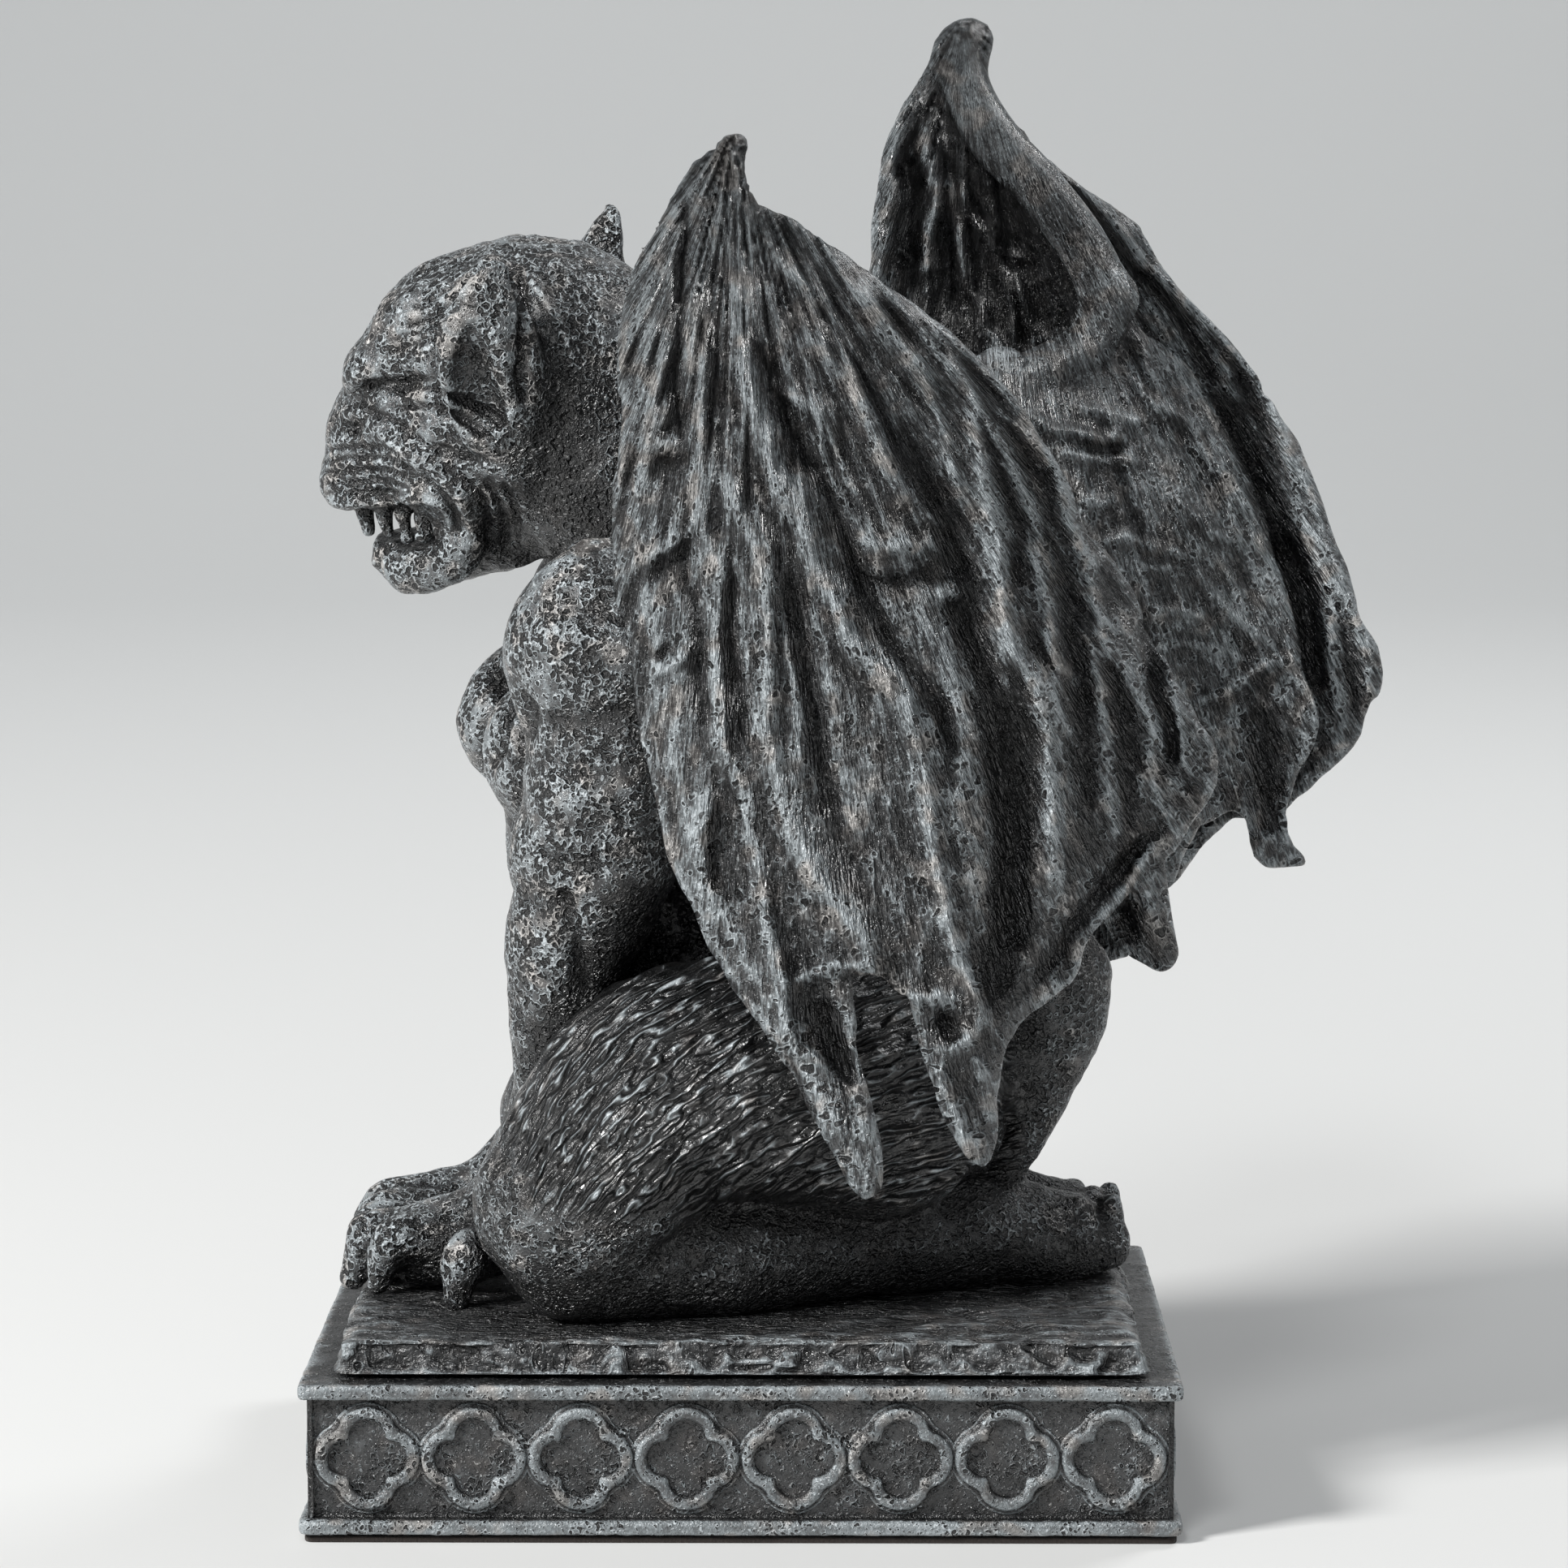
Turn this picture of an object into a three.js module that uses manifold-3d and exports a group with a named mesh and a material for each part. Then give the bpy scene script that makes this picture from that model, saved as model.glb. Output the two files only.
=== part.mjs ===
// A kneeling winged gargoyle cast in one with its rock slab, on a plinth carved with quatrefoils.
// Millimetres, +Z up. The figure faces -X. The origin is the middle of the underside.
import * as THREE from "three";
import { mergeVertices } from "three/addons/utils/BufferGeometryUtils.js";
import Module from "manifold-3d";

// Driving dimensions of the base.
const PLINTH_LENGTH = 100;
const PLINTH_DEPTH = 76;
const FELT_THICKNESS = 0.7;
const FELT_INSET = 0.6;
const SEAM = 0.3;
const MOULDING_HEIGHT = 1.7;
const MOULDING_REACH = 1.65;
const MOULDING_ROUND = 0.45;
const PLINTH_BOTTOM = FELT_THICKNESS + SEAM;
const PLINTH_TOP = 18.2;
const QUATREFOIL_PITCH = 12.06;
const QUATREFOIL_LOBE = 3.5;
const QUATREFOIL_REACH = 2.4;
const QUATREFOIL_BAND = 1.4;
const QUATREFOIL_RELIEF = 0.9;
const QUATREFOIL_FACETS = 3;
const QUATREFOILS_LONG = 8;
const QUATREFOILS_SHORT = 6;
const SLAB_BOTTOM = PLINTH_TOP + SEAM;
const SLAB_TOP = 22.6;
const SLAB_INSET = 2.8;
const SLAB_CHIP = 0.8;

// Driving dimensions of the wings.
const WING_SKIN = 3.2;
const VEIL_SKIN = 2.6;

const wasm = await Module();
wasm.setup();

const point = (p) => new THREE.Vector3(p[0], p[1], p[2]);

// A closed three.js geometry as a solid that can be joined and cut.
function solid(geometry) {
  const bare = geometry.clone();
  bare.deleteAttribute("normal");
  bare.deleteAttribute("uv");
  const merged = mergeVertices(bare, 1e-4);
  return new wasm.Manifold(
    new wasm.Mesh({
      numProp: 3,
      vertProperties: new Float32Array(merged.attributes.position.array),
      triVerts: new Uint32Array(merged.index.array),
    }),
  );
}

// A solid as a named mesh with its own material.
function meshOf(name, made, colour, roughness) {
  const { vertProperties, triVerts } = made.getMesh();
  const geometry = new THREE.BufferGeometry();
  geometry.setAttribute("position", new THREE.BufferAttribute(vertProperties, 3));
  geometry.setIndex(new THREE.BufferAttribute(triVerts, 1));
  geometry.computeVertexNormals();
  const finish = { color: colour, roughness, metalness: 0, flatShading: true };
  const mesh = new THREE.Mesh(geometry, new THREE.MeshStandardMaterial(finish));
  mesh.name = name;
  return mesh;
}

const joined = (solids) => solids.reduce((sum, next) => sum.add(next));

// The outer shell alone, so that no pocket stays sealed between joined forms.
const filled = (made) => made.decompose().sort((a, b) => b.volume() - a.volume())[0];

// Moves every vertex of a geometry by a function of its place.
function reshape(geometry, move) {
  const places = geometry.attributes.position;
  const v = new THREE.Vector3();
  for (let i = 0; i < places.count; i++) {
    v.fromBufferAttribute(places, i);
    move(v);
    places.setXYZ(i, v.x, v.y, v.z);
  }
  return geometry;
}

// A value read from an evenly spaced list at t from 0 to 1.
function along(list, t) {
  const place = THREE.MathUtils.clamp(t, 0, 1) * (list.length - 1);
  const low = Math.min(Math.floor(place), list.length - 2);
  return THREE.MathUtils.lerp(list[low], list[low + 1], place - low);
}

// A limb with round ends: a sphere's rings spread along a curve, as wide as the radii say. Flat is the
// height of the section over its width, measured along the up direction.
function limb(points, radii, { sides = 8, steps = 3, cap = 1, flat = 1, up = [0, 0, 1] } = {}) {
  const spine = new THREE.CatmullRomCurve3(points.map(point));
  const rings = steps + 2 * cap;
  const sphere = new THREE.SphereGeometry(1, sides, rings);
  const ahead = new THREE.Vector3();
  const across = new THREE.Vector3();
  const raised = new THREE.Vector3();
  return solid(
    reshape(sphere, (v) => {
      const ring = (Math.acos(THREE.MathUtils.clamp(v.y, -1, 1)) / Math.PI) * rings;
      const turn = Math.atan2(v.z, v.x);
      const t = THREE.MathUtils.clamp((ring - cap) / steps, 0, 1);
      const tip = ring < cap ? cap - ring : Math.max(0, ring - steps - cap);
      const bend = (tip / cap) * (Math.PI / 2);
      const radius = along(radii, t);
      spine.getTangent(t, ahead);
      across.crossVectors(point(up), ahead).normalize();
      raised.crossVectors(ahead, across).normalize();
      const girth = radius * Math.cos(bend);
      const reach = radius * Math.sin(bend) * (ring < cap ? -1 : 1);
      spine.getPoint(t, v);
      v.addScaledVector(ahead, reach);
      v.addScaledVector(across, girth * Math.cos(turn));
      v.addScaledVector(raised, girth * flat * Math.sin(turn));
    }),
  );
}

// An egg-shaped lump, turned by angles in degrees about X, Y and Z.
function lump(centre, radii, { turn = [0, 0, 0], sides = 8, rings = 6 } = {}) {
  const sphere = new THREE.SphereGeometry(1, sides, rings);
  sphere.scale(radii[0], radii[1], radii[2]);
  const angles = turn.map(THREE.MathUtils.degToRad);
  sphere.applyMatrix4(new THREE.Matrix4().makeRotationFromEuler(new THREE.Euler(...angles)));
  sphere.translate(...centre);
  return solid(sphere);
}

// A membrane spread over fingers that fan out from the wrist. Each finger is a curve; between two
// fingers the skin sags inwards by sag and its hem is cut back by scallop.
function membrane(fingers, { skin, sags, scallops, inward, across = 2, down = 12 }) {
  const curves = fingers.map((finger) => new THREE.CatmullRomCurve3(finger.map(point)));
  const spans = curves.length - 1;
  const place = (u, v) => {
    const span = Math.min(Math.floor(u * spans), spans - 1);
    const between = u * spans - span;
    const arch = 4 * between * (1 - between);
    const t = v * (1 - scallops[span] * arch);
    const before = curves[Math.max(span - 1, 0)].getPoint(t);
    const left = curves[span].getPoint(t);
    const right = curves[span + 1].getPoint(t);
    const after = curves[Math.min(span + 2, spans)].getPoint(t);
    const at = new THREE.CatmullRomCurve3([before, left, right, after]).getPoint((1 + between) / 3);
    const hollow = sags[span] * arch * Math.sin(Math.PI * Math.min(1, 0.15 + 0.85 * v) * 0.75);
    return at.addScaledVector(point(inward), hollow);
  };
  const step = 1e-3;
  const sheet = new THREE.BoxGeometry(1, 1, 1, spans * across, down, 1);
  return solid(
    reshape(sheet, (v) => {
      const u = THREE.MathUtils.clamp(v.x + 0.5, 0, 1);
      const w = THREE.MathUtils.clamp(0.5 - v.y, 0, 1);
      const side = v.z;
      const from = (a, b) => place(THREE.MathUtils.clamp(a, 0, 1), THREE.MathUtils.clamp(b, 0, 1));
      const alongU = from(u + step, w).sub(from(u - step, w));
      const alongV = from(u, w + step).sub(from(u, w - step));
      const normal = alongV.cross(alongU).normalize();
      const edge = 0.35 + 0.65 * Math.min(1, 6 * w, 6 * (1 - w));
      v.copy(place(u, w)).addScaledVector(normal, side * skin * edge);
    }),
  );
}

// Base.

function roundedRectangle(length, depth, round) {
  const outline = new THREE.Shape();
  const x = length / 2;
  const y = depth / 2;
  outline.moveTo(-x + round, -y);
  outline.lineTo(x - round, -y);
  outline.absarc(x - round, -y + round, round, -Math.PI / 2, 0);
  outline.lineTo(x, y - round);
  outline.absarc(x - round, y - round, round, 0, Math.PI / 2);
  outline.lineTo(-x + round, y);
  outline.absarc(-x + round, y - round, round, Math.PI / 2, Math.PI);
  outline.lineTo(-x, -y + round);
  outline.absarc(-x + round, -y + round, round, Math.PI, 1.5 * Math.PI);
  return outline;
}

function slabOf(length, depth, round, bottom, top, soften = 0) {
  const settings = { depth: top - bottom, bevelEnabled: false, curveSegments: 2 };
  if (soften > 0) {
    settings.depth -= 2 * soften;
    Object.assign(settings, { bevelEnabled: true, bevelSize: soften, bevelOffset: -soften });
    Object.assign(settings, { bevelThickness: soften, bevelSegments: 1 });
  }
  const slab = new THREE.ExtrudeGeometry(roundedRectangle(length, depth, round), settings);
  slab.translate(0, 0, bottom + soften);
  return slab;
}

// The outline of a quatrefoil: four round lobes about the middle.
function quatrefoilOutline(lobe, clockwise) {
  const corners = [];
  const open = Math.asin(QUATREFOIL_REACH / (lobe * Math.SQRT2)) + Math.PI / 4;
  for (let leaf = 0; leaf < 4; leaf++) {
    const facing = (leaf * Math.PI) / 2;
    const middle = new THREE.Vector2(Math.cos(facing), Math.sin(facing)).multiplyScalar(QUATREFOIL_REACH);
    for (let i = 0; i < QUATREFOIL_FACETS; i++) {
      const angle = facing - open + (2 * open * i) / QUATREFOIL_FACETS;
      corners.push(new THREE.Vector2(lobe * Math.cos(angle), lobe * Math.sin(angle)).add(middle));
    }
  }
  return clockwise ? corners.reverse() : corners;
}

function quatrefoilRing() {
  const outline = new THREE.Shape(quatrefoilOutline(QUATREFOIL_LOBE, false));
  outline.holes.push(new THREE.Path(quatrefoilOutline(QUATREFOIL_LOBE - QUATREFOIL_BAND, true)));
  const root = 0.5;
  const ring = new THREE.ExtrudeGeometry(outline, { depth: QUATREFOIL_RELIEF + root, bevelEnabled: false });
  ring.translate(0, 0, -root);
  return ring;
}

function moulding(bottom) {
  return slabOf(PLINTH_LENGTH, PLINTH_DEPTH, 1, bottom, bottom + MOULDING_HEIGHT, MOULDING_ROUND);
}

function plinth() {
  const length = PLINTH_LENGTH - 2 * MOULDING_REACH;
  const depth = PLINTH_DEPTH - 2 * MOULDING_REACH;
  const parts = [
    solid(slabOf(length, depth, 0.6, PLINTH_BOTTOM, PLINTH_TOP)),
    solid(moulding(PLINTH_BOTTOM)),
    solid(moulding(PLINTH_TOP - MOULDING_HEIGHT)),
  ];
  const middle = (PLINTH_BOTTOM + PLINTH_TOP) / 2;
  const faces = [
    { turn: 0, count: QUATREFOILS_LONG, out: depth / 2 },
    { turn: Math.PI / 2, count: QUATREFOILS_SHORT, out: length / 2 },
    { turn: Math.PI, count: QUATREFOILS_LONG, out: depth / 2 },
    { turn: -Math.PI / 2, count: QUATREFOILS_SHORT, out: length / 2 },
  ];
  for (const { turn, count, out } of faces)
    for (let i = 0; i < count; i++) {
      const ring = quatrefoilRing();
      ring.rotateX(Math.PI / 2);
      ring.translate((i - (count - 1) / 2) * QUATREFOIL_PITCH, -out, middle);
      ring.rotateZ(turn);
      parts.push(solid(ring));
    }
  return joined(parts);
}

// The rock slab under the figure, its edge broken into shallow chips.
function rockSlab() {
  const halfLength = PLINTH_LENGTH / 2 - SLAB_INSET;
  const halfDepth = PLINTH_DEPTH / 2 - SLAB_INSET;
  const lip = 0.9;
  const block = new THREE.BoxGeometry(2 * halfLength, 2 * halfDepth, SLAB_TOP - SLAB_BOTTOM, 9, 6, 1);
  const chip = (a, b) => 0.5 + 0.3 * Math.sin(1.9 * a + 2.3 * b) + 0.2 * Math.sin(4.1 * a - 1.7 * b);
  reshape(block, (v) => {
    const nearEnd = Math.abs(v.x) > halfLength - 0.1;
    const nearSide = Math.abs(v.y) > halfDepth - 0.1;
    const high = v.z > 0.1;
    const cut = SLAB_CHIP * chip(v.x, v.y + v.z);
    if (nearEnd) v.x -= Math.sign(v.x) * (cut + (high ? lip : 0));
    if (nearSide) v.y -= Math.sign(v.y) * (cut + (high ? lip : 0));
    if (high && (nearEnd || nearSide)) v.z -= 0.5 * cut;
  });
  block.translate(0, 0, (SLAB_TOP + SLAB_BOTTOM) / 2);
  return solid(block);
}

// Body.

function torso() {
  const spine = [[17, 4, 45], [12, 4, 60], [1, 5, 78], [-6, 6, 94], [-7, 5, 110], [-13, 6, 130]];
  return joined([
    limb(spine, [16.5, 17.5, 18, 19, 16.5, 15], { sides: 10, steps: 5, up: [0, 1, 0] }),
    lump([0, 5, 103], [17, 19, 13], { turn: [0, 25, 0], sides: 10 }),
    lump([-22, 15, 89], [13.5, 10, 10.5], { turn: [0, -14, 0] }),
    lump([-19, -1, 87], [12, 10, 9.5], { turn: [0, -10, 0] }),
    limb([[-15, 6, 84], [-12, 5, 66], [-4, 4, 52]], [14.5, 15, 15], { sides: 9, steps: 2, up: [0, 1, 0] }),
  ]);
}

// One arm from its shoulder to the paw that rests on the slab. Side is -1 on the left, +1 on the right.
function arm(side, middle) {
  const at = (x, out, z) => [x, middle + side * out, z];
  const bones = [
    at(-15.5, 20.5, 99), at(-15.8, 20, 87), at(-16.8, 18, 75), at(-20.5, 16, 63),
    at(-21.2, 13.5, 48), at(-24, 11.8, 36.5), at(-31, 10.5, 29.5), at(-38, 9, 27.5),
  ];
  const fingers = [
    { root: [-38, 4.5], tip: [-46.3, 2.5] },
    { root: [-39, 8.5], tip: [-46.3, 7.8] },
    { root: [-37, 12.5], tip: [-42.8, 13] },
    { root: [-30, 15.5], tip: [-33, 20] },
  ];
  const solids = [
    lump(at(-16, 21, 100), [11, 10.5, 12.5], { turn: [0, 10, 0] }),
    limb(bones, [10.5, 9.4, 9.6, 7.4, 5.6, 5.9, 5.6, 4.8], { steps: 7, up: [0, 1, 0] }),
  ];
  for (const { root, tip } of fingers) {
    const [dx, dy] = [tip[0] - root[0], tip[1] - root[1]];
    const knuckle = at(root[0] + 0.75 * dx, root[1] + 0.75 * dy, 28.2);
    const claw = at(tip[0] - 0.4, tip[1], 24);
    solids.push(limb([at(root[0], root[1], 28.5), knuckle, claw], [2.8, 3.1, 1.3], { sides: 5, steps: 2 }));
  }
  return joined(solids);
}

// One kneeling leg: haunch, knee on the slab, shin laid back and a clawed foot.
function leg(side, middle) {
  const at = (x, out, z) => [x, middle + side * out, z];
  const haunch = [at(14, 14, 48), at(2, 22, 50), at(-10, 25, 48), at(-19, 25, 36)];
  const shank = [at(-19, 25, 30), at(-4, 22, 29.5), at(11, 15, 29), at(25, 7.5, 29), at(38, 3, 27)];
  const solids = [
    limb(haunch, [16.5, 14.5, 13.8, 12.2], { sides: 9, steps: 4, cap: 2 }),
    limb(shank, [8.2, 8, 6.6, 7, 5.6], { steps: 5 }),
  ];
  for (let toe = 0; toe < 3; toe++) {
    const out = -3 + 4.2 * toe;
    const end = 42.5 - 2 * toe;
    const bones = [at(34, out, 27.3), at(end, out, 26), at(end + 1.4, out, 31.5)];
    solids.push(limb(bones, [3.3, 3.1, 1.1], { sides: 5, steps: 2 }));
  }
  return joined(solids);
}

function tail() {
  const spine = [[26, 5, 64], [36, 4, 57.5], [34.5, 2, 47], [31, 0, 38]];
  return limb(spine, [8, 7.8, 5.4, 3.4], { steps: 4, up: [0, 1, 0] });
}

// Head: built facing -X about its own middle, then tipped and turned away.
function head() {
  const middle = [-27, 6, 127];
  const turn = -20;
  const tip = 9;
  const ear = (side) => {
    const up = [-0.6, 0.8 * side, 0];
    const spine = [[5.5, 13 * side, 5], [4, 16.5 * side, 12], [6.5, 17.5 * side, 19.5]];
    const hollow = [[-1.5, 20.5 * side, 8.5], [2, 21 * side, 15.5]];
    const cup = limb(hollow, [4, 2.4], { sides: 6, steps: 1 });
    return limb(spine, [6.2, 6.4, 1.6], { sides: 7, flat: 0.5, up }).subtract(cup);
  };
  const made = joined([
    lump([2, 0, 4], [19, 15, 16], { sides: 10, rings: 8 }),
    lump([-14, 0, 5.8], [7.4, 11, 4.6], { turn: [0, -18, 0] }),
    lump([-20, 0, -4], [3.6, 4.6, 4], { sides: 6, rings: 5 }),
    limb([[-5, 0, -2], [-14, 0, -4], [-18, 0, -7]], [12, 9.5, 7], { sides: 9, steps: 2, cap: 2 }),
    lump([-19, 0, -9.6], [6.4, 8.4, 3.4], { rings: 5 }),
    limb([[8, 0, -8], [-4, 0, -12.5], [-15, 0, -18.2]], [8.5, 7.8, 5], { sides: 9 }),
    lump([-4, -8, -4], [11, 6.5, 9], { sides: 7, rings: 5 }),
    lump([-4, 8, -4], [11, 6.5, 9], { sides: 7, rings: 5 }),
    ear(-1),
    ear(1),
  ]);
  const mouth = lump([-19.5, 0, -13.6], [9.5, 14, 1.8]);
  return made.subtract(mouth).rotate([tip, 0, turn]).translate(middle);
}

// Wings. Each finger is a curve from the wrist to the hem.

function nearWing() {
  const fingers = [
    [
      [-6.5, -28.5, 151], [-12.5, -27, 138], [-14.2, -26, 114], [-11.5, -28, 92],
      [-4.5, -33, 70], [5.5, -37, 50], [12.5, -37.5, 39.5],
    ],
    [
      [-4.5, -30.5, 152], [-5.5, -31.5, 134], [-5, -33, 112], [-1, -36, 90],
      [5, -38, 68], [11, -38, 52], [15.5, -37, 39],
    ],
    [
      [-2.4, -31.3, 152.2], [3.5, -33, 132], [8, -35.5, 110], [13, -37, 90],
      [18, -37.5, 74], [22, -37, 64], [26, -36, 58],
    ],
    [
      [-0.4, -31.3, 151.8], [8, -32, 135], [16.5, -34.5, 114], [21.5, -36, 92],
      [24.5, -36.5, 72], [25.5, -36, 56], [26.5, -35, 42.5],
    ],
    [
      [1.4, -30.8, 151], [11, -30.5, 137], [24, -31.5, 116], [31, -32.5, 95],
      [34, -31.5, 78], [34.5, -30, 67], [35, -29, 59],
    ],
    [
      [3, -30, 149.8], [14, -29, 139.5], [29, -28, 120], [37, -26, 102],
      [41.5, -24, 86], [44, -21.5, 74], [47.5, -19, 66],
    ],
    [
      [4.4, -29, 148], [14.5, -27.5, 142.4], [27.6, -25.5, 131.6], [36.5, -22.5, 118.6],
      [41.5, -19.5, 105], [48.5, -17, 96], [55, -15, 88],
    ],
  ];
  return joined([
    membrane(fingers, {
      skin: WING_SKIN,
      sags: [1.6, 2.2, 2, 6, 2, 2.6],
      scallops: [0.02, 0.2, 0.08, 0.12, 0.06, 0.02],
      inward: [0, 1, 0],
      down: 10,
    }),
    limb([[4, -8, 104], [14, -15, 119], [12, -23, 132], [1, -28.5, 146]], [8, 6, 4.5, 3.4], { sides: 7 }),
    limb([[-3, -29.5, 147], [-2, -30.5, 153.5], [0.3, -30.5, 157.2]], [4.6, 3.2, 1.4], { sides: 7 }),
    limb([[2, -10, 100], [-2, -23, 96]], [12, 9], { steps: 1 }),
    limb([[48.5, -18, 75], [49, -18.5, 69], [46, -19, 66]], [2.6, 2.4, 1.8], { sides: 6 }),
  ]);
}

function farWing() {
  const fingers = [
    [
      [19.5, 37.5, 162], [16.5, 37, 152], [13.5, 34, 132], [11, 29, 110],
      [14, 31, 88], [20, 35, 66], [28, 37, 46],
    ],
    [
      [21.8, 38.5, 162.6], [22, 39.5, 150], [22, 39, 130], [22, 37, 108],
      [26, 38, 86], [31, 39, 66], [36, 38, 46],
    ],
    [
      [24, 39.2, 162.8], [29, 41.5, 147], [33, 42, 128], [36, 41, 108],
      [40, 40, 88], [44, 36, 70], [47, 31, 55],
    ],
    [
      [26.2, 39.4, 162.4], [36, 42, 147.5], [45, 44, 130], [50, 43, 112],
      [53, 41, 94], [55, 38, 82], [56, 33, 71],
    ],
    [
      [28.2, 39.2, 161.4], [38.5, 42, 149.4], [51.5, 45, 133], [59.5, 45, 116],
      [64.5, 43, 98], [66.5, 40, 85], [68, 37, 74],
    ],
    [
      [30, 38.6, 160], [40, 41, 151.2], [56, 43.5, 135.4], [66, 43, 121.2],
      [72.2, 41, 108], [76, 39, 97], [78.6, 38, 88],
    ],
  ];
  const veil = [
    [[22, 12, 118], [33, 14, 108], [42, 16, 96], [47, 18, 84], [49, 20, 74]],
    [[31, 19, 130], [40, 20, 118], [47, 22, 106], [52, 25, 96], [55, 28, 88.5]],
    [[40, 29, 133], [49, 30, 122], [57, 31, 110], [62.5, 32, 100], [66, 32.5, 92.5]],
    [[46, 36, 137], [56, 37.5, 124], [65, 36, 106], [69.5, 33.5, 95], [70, 32, 86]],
  ];
  const hook = [[68, 32.5, 92], [65.4, 32.5, 79], [66.8, 32, 70]];
  const forearm = [[45, 35, 136], [36, 37, 149], [26.5, 38, 160], [25, 38, 166], [27.6, 38, 169.6]];
  return joined([
    membrane(fingers, {
      skin: WING_SKIN,
      sags: [-3, -2.5, -2, -2, -3],
      scallops: [0.04, 0.04, 0.03, 0.04, 0.08],
      inward: [0, -1, 0],
      down: 9,
    }),
    membrane(veil, {
      skin: VEIL_SKIN,
      sags: [1.5, 1.5, 1.5],
      scallops: [0.05, 0.05, 0.1],
      inward: [0, 1, 0],
      down: 5,
    }),
    limb([[6, 14, 106], [22, 14, 123], [36, 24, 131.5], [45, 34, 137]], [9, 6, 5, 4.8], { sides: 7 }),
    limb(forearm, [5, 5, 4.6, 3.8, 2.8], { sides: 7, steps: 4, up: [0, 1, 0] }),
    limb(hook, [3.6, 3.6, 2.6], { sides: 7, flat: 0.6, up: [0, 1, 0] }),
  ]);
}

const group = new THREE.Group();

const casting = joined([
  rockSlab(),
  torso(),
  head(),
  arm(-1, 3),
  arm(1, 3),
  leg(-1, 4),
  leg(1, 4),
  tail(),
  nearWing(),
  farWing(),
]);

const felt = slabOf(PLINTH_LENGTH - 2 * FELT_INSET, PLINTH_DEPTH - 2 * FELT_INSET, 1, 0, FELT_THICKNESS);

group.add(meshOf("gargoyle", filled(casting), 0x3c4246, 0.55));
group.add(meshOf("plinth", plinth(), 0x3c4246, 0.6));
group.add(meshOf("felt_pad", solid(felt), 0x1c1512, 1));

export default group;
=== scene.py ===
"""Looks of a kneeling winged gargoyle on its carved plinth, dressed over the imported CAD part.

Sculpting happens in millimetres in the CAD frame; each finished mesh is in metres at the origin.
"""

import logging
import math
from dataclasses import dataclass, field
from enum import Enum

import bpy
import numpy as np
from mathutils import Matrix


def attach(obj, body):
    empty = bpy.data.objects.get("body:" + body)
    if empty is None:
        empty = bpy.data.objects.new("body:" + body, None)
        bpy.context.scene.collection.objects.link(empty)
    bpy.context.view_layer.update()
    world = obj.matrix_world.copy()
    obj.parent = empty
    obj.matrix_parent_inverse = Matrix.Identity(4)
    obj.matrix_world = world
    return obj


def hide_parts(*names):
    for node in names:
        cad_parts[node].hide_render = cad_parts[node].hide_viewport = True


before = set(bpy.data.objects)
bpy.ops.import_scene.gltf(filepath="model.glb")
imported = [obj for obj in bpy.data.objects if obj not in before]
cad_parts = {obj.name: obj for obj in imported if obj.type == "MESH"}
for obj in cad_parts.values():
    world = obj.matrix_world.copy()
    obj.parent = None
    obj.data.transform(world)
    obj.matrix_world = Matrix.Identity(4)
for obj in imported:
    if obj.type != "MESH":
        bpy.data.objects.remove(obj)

Array = np.ndarray
MM = 0.001
FAR = 50.0
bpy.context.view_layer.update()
logging.basicConfig(level=logging.INFO, format="%(message)s")
LOG = logging.getLogger("gargoyle")


class Finish(Enum):
    """The finishes that the object's pieces wear."""

    HIDE = "pitted_hide"
    PELT = "combed_pelt"
    MEMBRANE = "creased_membrane"
    ROCK = "chipped_rock"
    CARVING = "carved_plinth"
    FELT = "brown_felt"


# Numbers and curves.


def smooth_step(low: float, high: float, value: Array) -> Array:
    """Soft step from 0 at low to 1 at high."""
    t = np.clip((value - low) / (high - low), 0.0, 1.0)
    return t * t * (3.0 - 2.0 * t)


def soft_min(a: Array, b: Array, width: float) -> Array:
    """The lower of two fields, rounded where they meet within a width."""
    return np.minimum(a, b) - np.maximum(width - np.abs(a - b), 0.0) ** 2 / (4.0 * width)


def soft_max(a: Array, b: Array, width: float) -> Array:
    """The higher of two fields, rounded where they meet within a width."""
    return -soft_min(-a, -b, width)


def hashed(i: Array, j: Array, k: Array, seed: int) -> Array:
    """A repeatable number from -1 to 1 for each whole-numbered place."""
    h = (i * 73856093) ^ (j * 19349663) ^ (k * 83492791) ^ (seed * 2654435761)
    h = (h ^ (h >> 13)) * 1274126177
    h = h ^ (h >> 16)
    return (h & 0xFFFFFF) / float(0xFFFFFF) * 2.0 - 1.0


def noise(points: Array, size: float | tuple, seed: int = 0) -> Array:
    """Smooth value noise.

    Args:
        points: Places, one row each.
        size: Size of a lump, one number or one for each axis.
        seed: Choice of pattern.

    Returns:
        A value from -1 to 1 for each place.
    """
    scaled = points / np.asarray(size, dtype=float)
    cell = np.floor(scaled).astype(np.int64)
    f = scaled - cell
    f = f * f * (3.0 - 2.0 * f)
    total = np.zeros(len(points))
    for dx in (0, 1):
        for dy in (0, 1):
            for dz in (0, 1):
                weight = np.abs(1 - dx - f[:, 0]) * np.abs(1 - dy - f[:, 1]) * np.abs(1 - dz - f[:, 2])
                total += weight * hashed(cell[:, 0] + dx, cell[:, 1] + dy, cell[:, 2] + dz, seed)
    return total


def layered(points: Array, size: float | tuple, layers: int = 3, seed: int = 0) -> Array:
    """Noise summed over layers, each half the size and height of the one before."""
    sizes = np.asarray(size, dtype=float)
    return sum(noise(points, sizes / 2**n, seed + n) / 2**n for n in range(layers))


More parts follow.
